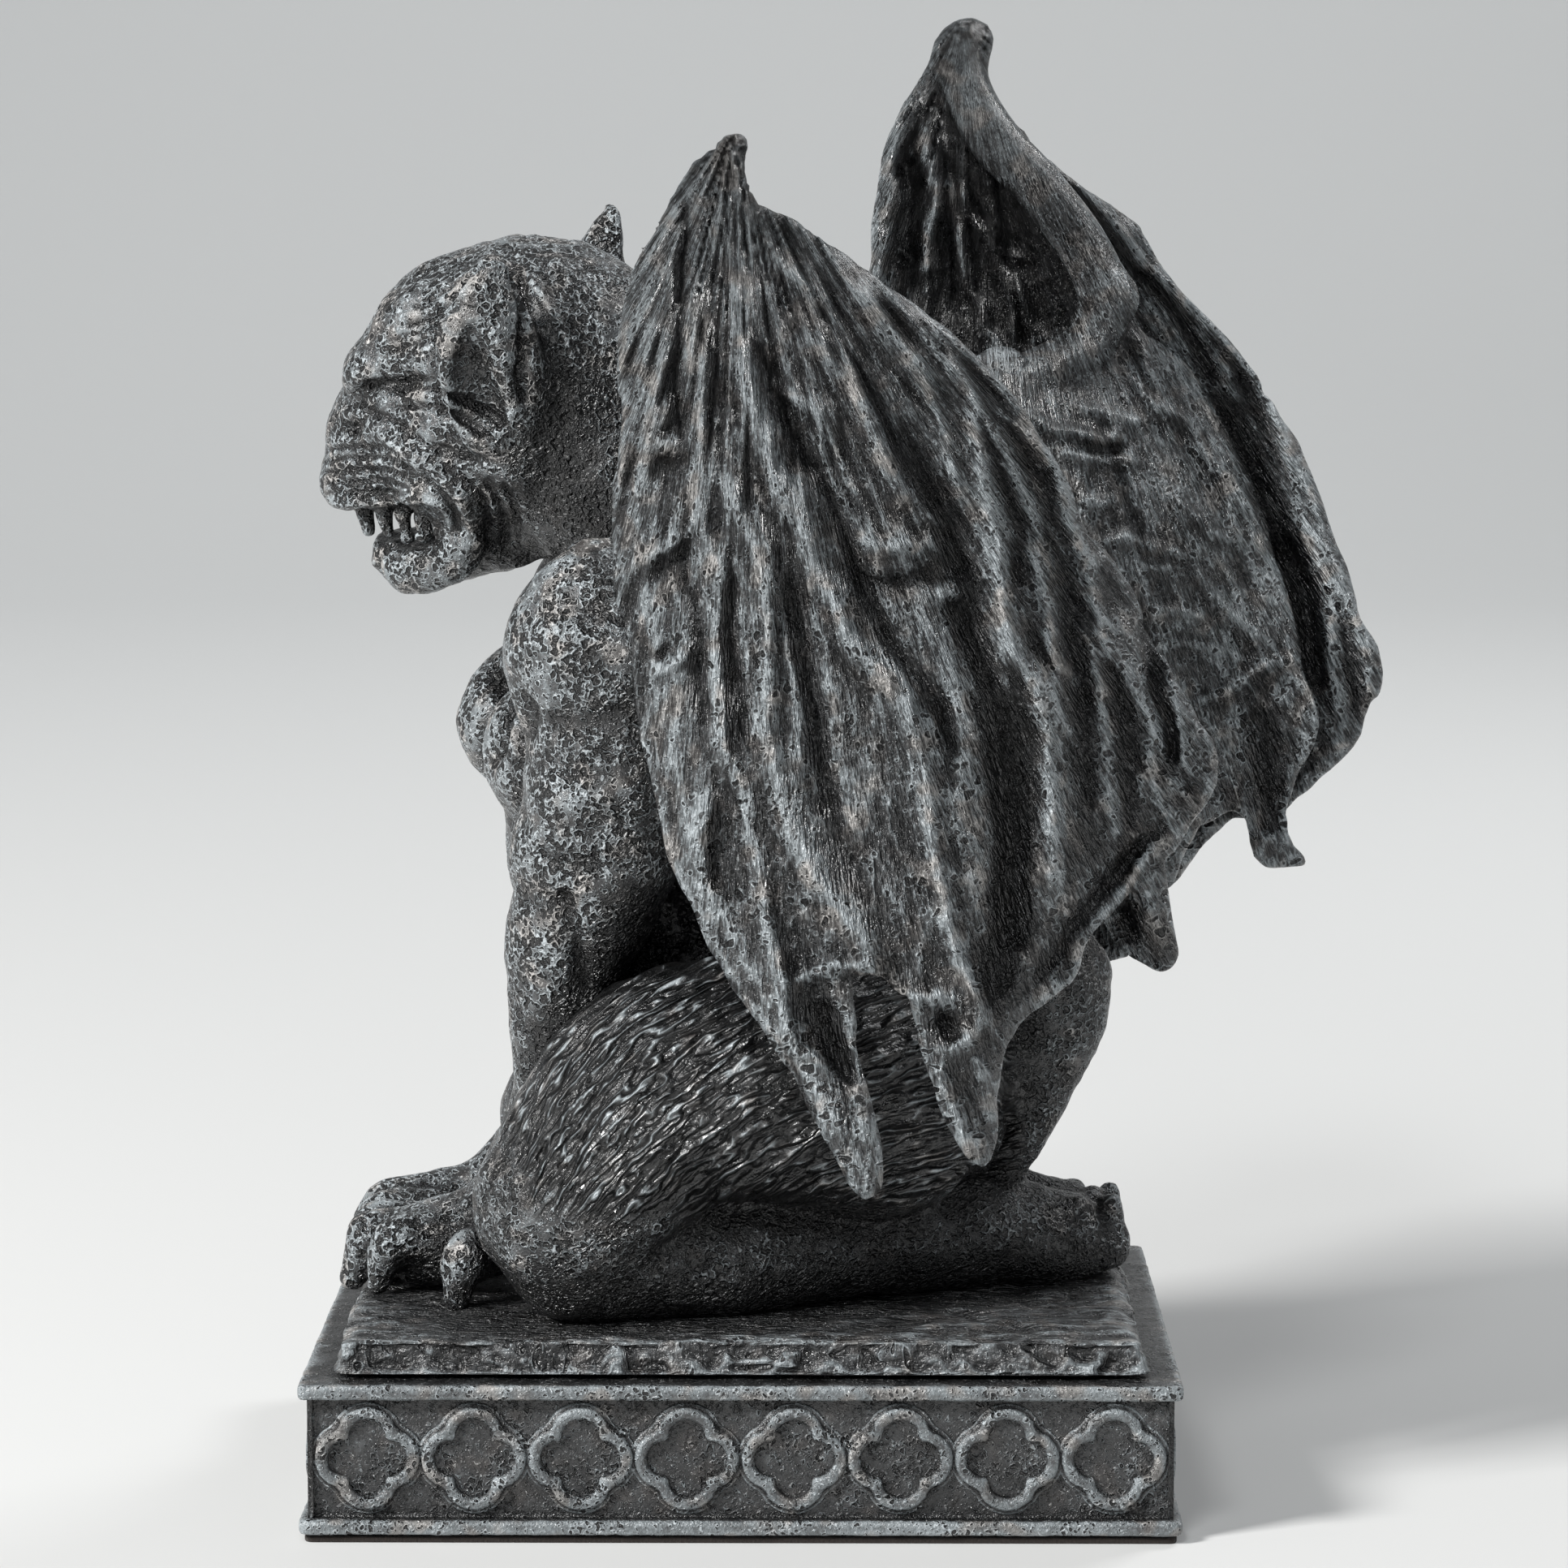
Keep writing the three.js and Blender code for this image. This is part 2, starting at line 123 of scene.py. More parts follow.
def chips(points: Array, size: float | tuple, seed: int = 0) -> tuple[Array, Array]:
    """Cells of a broken surface: distance to the nearest seed and a number for its cell."""
    scaled = points / np.asarray(size, dtype=float)
    cell = np.floor(scaled).astype(np.int64)
    nearest = np.full(len(points), 9.0)
    label = np.zeros(len(points))
    for dx in (-1, 0, 1):
        for dy in (-1, 0, 1):
            for dz in (-1, 0, 1):
                at = cell + np.array([dx, dy, dz])
                shift = [hashed(at[:, 0], at[:, 1], at[:, 2], seed + n) * 0.5 + 0.5 for n in range(3)]
                gap = np.sqrt(((at + np.stack(shift, 1) - scaled) ** 2).sum(1))
                closer = gap < nearest
                nearest = np.where(closer, gap, nearest)
                label = np.where(closer, hashed(at[:, 0], at[:, 1], at[:, 2], seed + 7), label)
    return nearest, label


def curve_through(points: tuple | Array, per_span: int = 6) -> Array:
    """Points of a smooth curve that passes through the given ones."""
    p = np.asarray(points, dtype=float)
    if len(p) < 3:
        t = np.linspace(0.0, 1.0, per_span + 1)[:, None]
        return p[:1] + (p[-1:] - p[:1]) * t
    padded = np.vstack([2 * p[0] - p[1], p, 2 * p[-1] - p[-2]])
    out = []
    for n in range(len(p) - 1):
        a, b, c, d = padded[n : n + 4]
        t = np.linspace(0.0, 1.0, per_span, endpoint=False)[:, None]
        turn = (2 * a - 5 * b + 4 * c - d) * t**2 + (3 * b - a - 3 * c + d) * t**3
        out.append(0.5 * (2 * b + (c - a) * t + turn))
    return np.vstack(out + [p[-1:]])


def turned(degrees: tuple[float, float, float]) -> Array:
    """Matrix that turns about X, then Y, then Z."""
    x, y, z = np.radians(degrees)
    about_x = np.array([[1, 0, 0], [0, math.cos(x), -math.sin(x)], [0, math.sin(x), math.cos(x)]])
    about_y = np.array([[math.cos(y), 0, math.sin(y)], [0, 1, 0], [-math.sin(y), 0, math.cos(y)]])
    about_z = np.array([[math.cos(z), -math.sin(z), 0], [math.sin(z), math.cos(z), 0], [0, 0, 1]])
    return about_z @ about_y @ about_x


# The photograph's camera.


@dataclass(frozen=True)
class PhotoView:
    """The camera that the photograph was taken from, in millimetres and picture points."""

    place: tuple[float, float, float] = (8.93, -592.9, 154.6)
    yaw: float = -0.0072
    pitch: float = 0.1219
    focal: float = 6212.0
    frame_points: float = 1932.0

    def axes(self) -> tuple[Array, Array, Array]:
        """Forward, right and up of the camera."""
        level = math.cos(self.pitch)
        forward = np.array([math.sin(self.yaw) * level, math.cos(self.yaw) * level, -math.sin(self.pitch)])
        right = np.array([math.cos(self.yaw), -math.sin(self.yaw), 0.0])
        return forward, right, np.cross(right, forward)

    def project(self, points: Array) -> tuple[Array, Array]:
        """Picture points, across and down, of places in millimetres."""
        forward, right, up = self.axes()
        away = np.asarray(points, dtype=float) - np.array(self.place)
        deep = away @ forward
        middle = self.frame_points / 2
        return middle + self.focal * (away @ right) / deep, middle - self.focal * (away @ up) / deep

    def place_at(self, across: Array, down: Array, depth: Array) -> Array:
        """Places seen at picture points, at a depth along Y."""
        forward, right, up = self.axes()
        middle = self.frame_points / 2
        u = (np.asarray(across, dtype=float) - middle) / self.focal
        v = (middle - np.asarray(down, dtype=float)) / self.focal
        ray = forward + u[..., None] * right + v[..., None] * up
        reach = (depth - self.place[1]) / ray[..., 1]
        return np.array(self.place) + ray * reach[..., None]


VIEW = PhotoView()


@dataclass(frozen=True)
class Fold:
    """A ridge or groove along a curve of picture points.

    Height is in millimetres towards the camera, before and after are the half widths in picture
    points on the right and on the left of the way the curve runs down the picture.
    """

    path: tuple
    height: float
    before: float = 14.0
    after: float = 14.0
    fade: float = 0.12

    def height_at(self, across: Array, down: Array) -> Array:
        """Height that this fold adds at flat lists of picture points."""
        out = np.zeros(len(across))
        line = curve_through(self.path, 5)
        reach = 2.3 * max(self.before, self.after)
        low, high = line.min(0) - reach, line.max(0) + reach
        near = (across > low[0]) & (across < high[0]) & (down > low[1]) & (down < high[1])
        spots = np.stack([across[near], down[near]], 1)
        if not len(spots):
            return out
        best = np.full(len(spots), 1e9)
        side = np.zeros(len(spots))
        t_at = np.zeros(len(spots))
        steps = np.diff(line, axis=0)
        lengths = np.hypot(steps[:, 0], steps[:, 1])
        start = np.concatenate([[0.0], np.cumsum(lengths)])
        for n in range(len(steps)):
            rel = spots - line[n]
            t = np.clip((rel @ steps[n]) / max(lengths[n] ** 2, 1e-9), 0.0, 1.0)
            gap = rel - t[:, None] * steps[n]
            dist = np.hypot(gap[:, 0], gap[:, 1])
            closer = dist < best
            best = np.where(closer, dist, best)
            turn = steps[n][0] * gap[:, 1] - steps[n][1] * gap[:, 0]
            side = np.where(closer, np.sign(turn), side)
            t_at = np.where(closer, (start[n] + t * lengths[n]) / start[-1], t_at)
        width = np.where(side > 0, self.after, self.before)
        ends = smooth_step(0.0, self.fade, t_at) * smooth_step(0.0, self.fade, 1.0 - t_at)
        out[near] = self.height * (0.25 + 0.75 * ends) * np.exp(-((best / width) ** 1.7))
        return out


def folds_at(folds: tuple[Fold, ...], across: Array, down: Array, wander: float = 5.0) -> Array:
    """Height of all the folds at picture points, each a little uneven as if modelled by hand."""
    flat = np.stack([across, down, np.zeros(len(across))], 1)
    shifted_x = across + wander * layered(flat, 60.0, 2, 3)
    shifted_y = down + wander * layered(flat, 60.0, 2, 5)
    return sum(fold.height_at(shifted_x, shifted_y) for fold in folds)


def outline_distance(outline: tuple | Array, across: Array, down: Array) -> Array:
    """Distance in picture points to a closed outline, below nought inside it."""
    corners = np.asarray(outline, dtype=float)
    following = np.roll(corners, -1, axis=0)
    best = np.full(len(across), 1e9)
    inside = np.zeros(len(across), dtype=bool)
    for (ax, ay), (bx, by) in zip(corners, following):
        dx, dy = bx - ax, by - ay
        t = np.clip(((across - ax) * dx + (down - ay) * dy) / max(dx * dx + dy * dy, 1e-9), 0.0, 1.0)
        best = np.minimum(best, np.hypot(across - ax - t * dx, down - ay - t * dy))
        if ay != by:
            crosses = (ay > down) != (by > down)
            inside ^= crosses & (across < ax + dx * (down - ay) / dy)
    return np.where(inside, -best, best)


# Clay: forms blended in a volume.


@dataclass(frozen=True)
class Lump:
    """An egg-shaped lump of clay, turned by degrees about X, Y and Z."""

    centre: tuple[float, float, float]
    radii: tuple[float, float, float]
    turn: tuple[float, float, float] = (0.0, 0.0, 0.0)

    def boxes(self, spare: float) -> list[tuple[Array, Array, int]]:
        """The one box that this form fills."""
        reach = max(self.radii) + spare
        centre = np.array(self.centre, dtype=float)
        return [(centre - reach, centre + reach, 0)]

    def distance(self, x: Array, y: Array, z: Array, part: int) -> Array:
        """Rough distance to the surface, below nought inside."""
        back = turned(self.turn).T
        p = [x - self.centre[0], y - self.centre[1], z - self.centre[2]]
        local = [back[n][0] * p[0] + back[n][1] * p[1] + back[n][2] * p[2] for n in range(3)]
        near = np.sqrt(sum((c / r) ** 2 for c, r in zip(local, self.radii))) + 1e-6
        slope = np.sqrt(sum((c / r**2) ** 2 for c, r in zip(local, self.radii))) + 1e-6
        return near * (near - 1.0) / slope


@dataclass(frozen=True)
class Limb:
    """A round limb along a smooth curve, as thick as its radii say, flattened along an axis."""

    points: tuple
    radii: tuple
    flat: float = 1.0
    thin: tuple[float, float, float] = (0.0, 1.0, 0.0)
    steps: int = 6

    def _bones(self) -> tuple[Array, Array]:
        """Points and radii spread along the curve."""
        line = curve_through(self.points, self.steps)
        t = np.linspace(0.0, 1.0, len(line))
        radii = np.interp(t, np.linspace(0.0, 1.0, len(self.radii)), self.radii)
        return line, radii

    def boxes(self, spare: float) -> list[tuple[Array, Array, int]]:
        """One box for each short length of the limb."""
        line, radii = self._bones()
        out = []
        for n in range(len(line) - 1):
            reach = max(radii[n], radii[n + 1]) + spare
            out.append((np.minimum(line[n], line[n + 1]) - reach, np.maximum(line[n], line[n + 1]) + reach, n))
        return out

    def distance(self, x: Array, y: Array, z: Array, part: int) -> Array:
        """Distance to one short length, below nought inside."""
        line, radii = self._bones()
        a, b = line[part], line[part + 1]
        thin = np.array(self.thin) / np.linalg.norm(self.thin)
        stretch = 1.0 / self.flat - 1.0
        p = [x - a[0], y - a[1], z - a[2]]
        lean = stretch * (thin[0] * p[0] + thin[1] * p[1] + thin[2] * p[2])
        p = [p[n] + thin[n] * lean for n in range(3)]
        bone = b - a
        bone = bone + thin * stretch * (thin @ bone)
        t = np.clip((p[0] * bone[0] + p[1] * bone[1] + p[2] * bone[2]) / (bone @ bone + 1e-9), 0.0, 1.0)
        gap = np.sqrt(sum((p[n] - t * bone[n]) ** 2 for n in range(3)))
        squeeze = 1.0 if self.flat == 1.0 else 0.5 * (1.0 + self.flat)
        return (gap - (radii[part] + t * (radii[part + 1] - radii[part]))) * squeeze


class Clay:
    """A block of space in which forms are blended together and cut away."""

    def __init__(self, low: tuple, high: tuple, step: float) -> None:
        """Empty block between two corners, with cubes of one size."""
        self.low = np.array(low, dtype=float)
        self.step = step
        counts = np.ceil((np.array(high) - self.low) / step).astype(int) + 1
        self.axes = [self.low[n] + step * np.arange(counts[n]) for n in range(3)]
        self.field = np.full(tuple(counts), FAR, dtype=np.float32)

    def _region(self, low: Array, high: Array) -> tuple[slice, ...] | None:
        """The cubes inside a box, or nothing where they don't meet."""
        first = np.clip(np.floor((low - self.low) / self.step).astype(int), 0, self.field.shape)
        last = np.clip(np.ceil((high - self.low) / self.step).astype(int) + 1, 0, self.field.shape)
        if (last <= first).any():
            return None
        return tuple(slice(int(a), int(b)) for a, b in zip(first, last))

    def form(self, shape: Lump | Limb, spare: float) -> tuple[tuple[slice, ...], Array] | None:
        """One shape's own field in the cubes around it."""
        parts = shape.boxes(spare)
        low = np.min([p[0] for p in parts], axis=0)
        high = np.max([p[1] for p in parts], axis=0)
        whole = self._region(low, high)
        if whole is None:
            return None
        made = np.full([s.stop - s.start for s in whole], FAR, dtype=np.float32)
        for box_low, box_high, part in parts:
            region = self._region(box_low, box_high)
            if region is None:
                continue
            x, y, z = (self.axes[n][region[n]] for n in range(3))
            found = shape.distance(x[:, None, None], y[None, :, None], z[None, None, :], part)
            inner = tuple(slice(r.start - w.start, r.stop - w.start) for r, w in zip(region, whole))
            made[inner] = np.minimum(made[inner], found)
        return whole, made

    def add(self, shape: Lump | Limb, blend: float = 2.0) -> None:
        """Blends a shape into the clay."""
        made = self.form(shape, blend + 1.0)
        if made is not None:
            self.field[made[0]] = soft_min(self.field[made[0]], made[1], blend)

    def cut(self, shape: Lump | Limb, blend: float = 1.0) -> None:
        """Cuts a shape out of the clay."""
        made = self.form(shape, blend + 1.0)
        if made is not None:
            self.field[made[0]] = soft_max(self.field[made[0]], -made[1], blend)

    def carve(self) -> "Carving":
        """The clay's surface as a mesh in millimetres."""
        points, quads = skin_of(self.field)
        return Carving(self.low + points * self.step, quads)

    def filled_at(self, points: Array) -> Array:
        """Which places lie inside the clay."""
        spot = np.rint((points - self.low) / self.step).astype(int)
        ok = ((spot >= 0) & (spot < self.field.shape)).all(1)
        out = np.zeros(len(points), dtype=bool)
        s = spot[ok]
        out[ok] = self.field[s[:, 0], s[:, 1], s[:, 2]] < 0
        return out


def skin_of(volume: Array) -> tuple[Array, Array]:
    """The surface where a volume crosses nought, as points in grid steps and quads.

    Args:
        volume: Values below nought inside the form.

    Returns:
        Points, one row each, and quads as four point numbers each.
    """
    volume = volume.copy()
    for axis in range(3):
        for end in (0, -1):
            edge = [slice(None)] * 3
            edge[axis] = end
            volume[tuple(edge)] = np.maximum(volume[tuple(edge)], 0.2)
    inside = volume < 0
    corners = [(a, b, c) for a in (0, 1) for b in (0, 1) for c in (0, 1)]
    shape = tuple(n - 1 for n in volume.shape)
    count = np.zeros(shape, dtype=np.uint8)
    for a, b, c in corners:
        count += inside[a : a + shape[0], b : b + shape[1], c : c + shape[2]]
    active = (count > 0) & (count < 8)
    cells = np.argwhere(active)
    index = np.full(shape, -1, dtype=np.int32)
    index[active] = np.arange(len(cells))
    value = [volume[cells[:, 0] + a, cells[:, 1] + b, cells[:, 2] + c] for a, b, c in corners]
    total = np.zeros((len(cells), 3))
    hits = np.zeros(len(cells))
    for m, first in enumerate(corners):
        for n, second in enumerate(corners):
            if n <= m or sum(abs(p - q) for p, q in zip(first, second)) != 1:
                continue
            crosses = (value[m] < 0) != (value[n] < 0)
            t = np.where(crosses, value[m] / np.where(crosses, value[m] - value[n], 1.0), 0.0)
            spot = np.array(first) + t[:, None] * (np.array(second) - np.array(first))
            total += spot * crosses[:, None]
            hits += crosses
    points = cells + total / hits[:, None]
    quads = []
    for axis in range(3):
        others = [n for n in range(3) if n != axis]
        take = [slice(None)] * 3
        ahead = [slice(None)] * 3
        take[axis] = slice(0, -1)
        ahead[axis] = slice(1, None)
        change = inside[tuple(take)] != inside[tuple(ahead)]
        for other in others:
            edge = [slice(None)] * 3
            for end in (0, -1):
                edge[other] = end
                change[tuple(edge)] = False
        spots = np.argwhere(change)
        ring = []
        for da, db in ((-1, -1), (0, -1), (0, 0), (-1, 0)):
            moved = spots.copy()
            moved[:, others[0]] += da
            moved[:, others[1]] += db
            ring.append(index[moved[:, 0], moved[:, 1], moved[:, 2]])
        made = np.stack(ring, 1)
        flip = inside[spots[:, 0], spots[:, 1], spots[:, 2]] ^ (axis == 1)
        made = np.where(flip[:, None], made, made[:, ::-1])
        quads.append(made)
    return points, np.vstack(quads)


class Carving:
    """A carved surface in millimetres, as points and quads, with values painted on its points."""

    def __init__(self, points: Array, quads: Array) -> None:
        """Keeps the surface and finds which points are neighbours."""
        self.points = points
        self.quads = quads
        if self._volume() < 0:
            self.quads = quads[:, ::-1]
        pairs = np.vstack([self.quads[:, [n, (n + 1) % 4]] for n in range(4)])
        pairs = np.sort(pairs, axis=1)
        keys = np.unique(pairs[:, 0].astype(np.int64) * len(points) + pairs[:, 1])
        self.ends = np.stack([keys // len(points), keys % len(points)], 1)
        self.degree = np.maximum(np.bincount(self.ends.ravel(), minlength=len(points)), 1)
        self.paint: dict[str, Array] = {}

    def _volume(self) -> float:
        """Volume inside the quads, below nought where they face inwards."""
        a, b, c, d = (self.points[self.quads[:, n]] for n in range(4))
        return float((a * (np.cross(b, c) + np.cross(c, d))).sum())

    def normals(self) -> Array:
        """Outward direction at each point."""
        a, b, c, d = (self.points[self.quads[:, n]] for n in range(4))
        face = np.cross(c - a, d - b)
        out = np.zeros_like(self.points)
        for axis in range(3):
            for n in range(4):
                out[:, axis] += np.bincount(self.quads[:, n], face[:, axis], len(self.points))
        return out / (np.linalg.norm(out, axis=1, keepdims=True) + 1e-12)

    def spread(self, values: Array, rounds: int, share: float = 0.5) -> Array:
        """Values evened out with those of their neighbours."""
        flat = values.reshape(len(values), -1).astype(float).copy()
        a, b = self.ends[:, 0], self.ends[:, 1]
        for _ in range(rounds):
            for n in range(flat.shape[1]):
                column = flat[:, n]
                around = np.bincount(a, column[b], len(column)) + np.bincount(b, column[a], len(column))
                flat[:, n] = (1 - share) * column + share * around / self.degree
        return flat.reshape(values.shape)

    def relax(self, rounds: int) -> None:
        """Smooths the surface."""
        self.points = self.spread(self.points, rounds)

    def push(self, heights: Array) -> None:
        """Raises or sinks each point along its outward direction."""
        self.points = self.points + self.normals() * heights[:, None]

    def bend_of(self, rounds: int, unit: float) -> Array:
        """How far each point stands out of its surroundings, from -1 to 1."""
        rest = self.points - self.spread(self.points, rounds)
        return np.tanh((rest * self.normals()).sum(1) / unit)

    def measure(self, fine: int = 4, fine_unit: float = 0.06, broad: int = 30, broad_unit: float = 0.5) -> None:
        """Paints the fine relief for the dry-brushed paint and the broad form, which the finish reads partly as paint
        and partly as painted shade in broad hollows.
        """
        self.paint["relief"] = self.bend_of(fine, fine_unit)
        self.paint["form"] = self.bend_of(broad, broad_unit)

    def joined_to(self, other: "Carving") -> "Carving":
        """This surface and another as one piece of separate shells."""
        both = Carving(np.vstack([self.points, other.points]), np.vstack([self.quads, other.quads + len(self.points)]))
        for name in self.paint:
            both.paint[name] = np.concatenate([self.paint[name], other.paint[name]])
        return both

    def cast(self, name: str, nodes: tuple[str, ...], slot: str, most: int = 130000) -> bpy.types.Object:
        """Makes the Blender object, with fewer faces where the surface is plain or faces away.

        Args:
            name: The piece's name.
            nodes: CAD nodes that it stands for.
            slot: Not used.
            most: Triangles that the piece may have.

        Returns:
            The new object, riding on the part's body.
        """
        mesh = bpy.data.meshes.new(name)
        mesh.vertices.add(len(self.points))
        mesh.vertices.foreach_set("co", (self.points * MM).ravel())
        mesh.loops.add(self.quads.size)
        mesh.loops.foreach_set("vertex_index", self.quads.ravel().astype(np.int32))
        mesh.polygons.add(len(self.quads))
        mesh.polygons.foreach_set("loop_start", np.arange(0, self.quads.size, 4, dtype=np.int32))
        mesh.update(calc_edges=True)
        mesh.shade_smooth()
        for label, values in self.paint.items():
            kind = "FLOAT_VECTOR" if values.ndim == 2 else "FLOAT"
            layer = mesh.attributes.new(label, kind, "POINT")
            layer.data.foreach_set("vector" if values.ndim == 2 else "value", values.ravel().astype(np.float32))
        piece = bpy.data.objects.new(name, mesh)
        bpy.context.scene.collection.objects.link(piece)
        share = most / (2.0 * len(self.quads))
        if share < 1.0:
            self._thin_out(piece, share)
        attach(piece, "root")
        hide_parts(*nodes)
        LOG.info("%s: %d faces made %d", name, len(self.quads), len(piece.data.polygons))
        return piece

    def _thin_out(self, piece: bpy.types.Object, share: float) -> None:
        """Merges faces of a piece, first on the sides that the picture doesn't show."""
        hidden = smooth_step(-0.1, 0.5, self.normals()[:, 1])
        group = piece.vertex_groups.new(name="plain")
        for level in range(5):
            chosen = np.nonzero((hidden > level / 4 - 0.25) & (hidden <= level / 4))[0]
            group.add(chosen.tolist(), max(level / 4, 0.04), "REPLACE")
        bpy.ops.object.select_all(action="DESELECT")
        piece.select_set(True)
        bpy.context.view_layer.objects.active = piece
        thin = piece.modifiers.new("thin", "DECIMATE")
        thin.ratio = share
        thin.vertex_group = group.name
        thin.vertex_group_factor = 2.0
        bpy.ops.object.modifier_apply(modifier=thin.name)
        piece.vertex_groups.clear()


# Wings: sheets modelled in the picture's own space, from a smooth surface, folds and an outline.


@dataclass
class SmoothSheet:
    """A smooth depth along Y at every picture point, passed through known places."""

    places: Array
    slack: float = 0.02

    def __post_init__(self) -> None:
        """Solves the thin plate through the places."""
        across, down = VIEW.project(self.places)
        self.knots = np.stack([across, down], 1) / 100.0
        n = len(self.knots)
        gap = np.linalg.norm(self.knots[:, None] - self.knots[None], axis=2)
        system = np.zeros((n + 3, n + 3))
        system[:n, :n] = self._bow(gap) + self.slack * np.eye(n)
        system[:n, n] = system[n, :n] = 1.0
        system[:n, n + 1 :] = self.knots
        system[n + 1 :, :n] = self.knots.T
        wanted = np.concatenate([self.places[:, 1], np.zeros(3)])
        self.weights = np.linalg.solve(system, wanted)

    def _bow(self, gap: Array) -> Array:
        """Shape of the plate about one knot."""
        return gap**2 * np.log(gap + 1e-9)

    def depth_at(self, across: Array, down: Array) -> Array:
        """Depth along Y in millimetres at picture points."""
        spots = np.stack([across, down], 1) / 100.0
        gap = np.linalg.norm(spots[:, None] - self.knots[None], axis=2)
        n = len(self.knots)
        return self._bow(gap) @ self.weights[:n] + self.weights[n] + spots @ self.weights[n + 1 :]


@dataclass
class Sheet:
    """One leathery sheet of a wing: its middle surface, outline, folds and thickness."""

    places: Array
    outline: tuple
    folds: tuple[Fold, ...]
    wrist: tuple[float, float]
    skin: float = 3.0
    rough: float = 0.35
    edge: float = 1.6
    seed: int = 0

    def grain_at(self, across: Array, down: Array) -> Array:
        """Where each picture point lies across and along the streaks that fan out of the wrist."""
        dx, dy = across - self.wrist[0], down - self.wrist[1]
        return np.stack([np.arctan2(dx, dy + 40.0) * 62.0, np.hypot(dx, dy) / 10.8, 0.0 * dx], 1)

    def paint(self, carving: Carving, washes: tuple[Fold, ...]) -> None:
        """Paints the folds' own form, partly dry-brushed paint and partly painted shade in their grooves, the streaks
        and the painted shade of the dark hollows on the finished surface.
        """
        across, down = VIEW.project(carving.points)
        carving.paint["grain"] = self.grain_at(across, down)
        block = self.block
        wide = self.relief.copy()
        for _ in range(3):
            for axis in (0, 1):
                ahead = np.cumsum(np.concatenate([np.repeat(np.take(wide, [0], axis), 7, axis), wide,
                                                  np.repeat(np.take(wide, [-1], axis), 6, axis)], axis), axis)
                count = wide.shape[axis]
                wide = (np.take(ahead, np.arange(13, 13 + count), axis) - np.take(ahead, np.arange(count), axis)) / 13
        proud = self.relief - wide
        i = np.clip(np.rint((across - block.across[0]) / block.pitch).astype(int), 0, proud.shape[0] - 1)
        j = np.clip(np.rint((down - block.down[0]) / block.pitch).astype(int), 0, proud.shape[1] - 1)
        # form: fold ridges paint lighter and their grooves darker, partly dry-brushed paint and partly painted shade
        carving.paint["form"] = np.tanh(proud[i, j] / 0.9)
        # painted shade along the given folds, on the sides facing the camera
        carving.paint["wash"] = folds_at(washes, across, down, 8.0) * smooth_step(0.2, -0.2, carving.normals()[:, 1])

    def fill(self, block: "PictureClay") -> None:
        """Adds this sheet to a block of clay."""
        across, down = (g.ravel() for g in np.meshgrid(block.across, block.down, indexing="ij"))
        middle = SmoothSheet(self.places).depth_at(across, down)
        grain = self.grain_at(across, down)
        drawn = grain * np.array([1.0, 0.2, 1.0])
        bent = drawn + 0.9 * np.stack([noise(grain, 9.0, self.seed + n) for n in (20, 21, 22)], 1)
        lumps = layered(bent, 3.2, 3, self.seed)
        crests = 1.0 - 3.0 * np.abs(layered(bent, 2.6, 2, self.seed + 2)) - np.abs(noise(bent, 1.1, self.seed + 3))
        relief = 1.35 * folds_at(self.folds, across, down) + self.rough * (lumps + 0.75 * crests)
        wobble = 3.0 * layered(np.stack([across, down, 0 * down], 1), 46.0, 2, self.seed + 9)
        rim = (outline_distance(self.outline, across, down) + wobble) / 10.6
        back_lumps = layered(np.stack([grain[:, 0], grain[:, 1] * 0.35, grain[:, 2] + 9], 1), 6.0, 3, self.seed + 4)
        shape = (len(block.across), len(block.down), 1)
        front = (middle - self.skin / 2 - relief).reshape(shape)
        back = (middle + self.skin / 2 - 0.45 * relief + 0.7 * back_lumps).reshape(shape)
        back = np.maximum(back, front + 1.3)
        rim = rim.reshape(shape)
        self.block, self.relief = block, relief.reshape(shape[:2])
        slope_x = np.gradient(front[:, :, 0], block.pitch / 10.6, axis=0)
        slope_y = np.gradient(front[:, :, 0], block.pitch / 10.6, axis=1)
        steep = (1.0 / np.sqrt(1.0 + slope_x**2 + slope_y**2))[:, :, None]
        depth = block.depth[None, None, :]
        sheet = soft_max((front - depth) * steep, (depth - back) * steep, 0.7)
        block.field = soft_min(block.field, soft_max(sheet, rim, self.edge).astype(np.float32), 1.0)


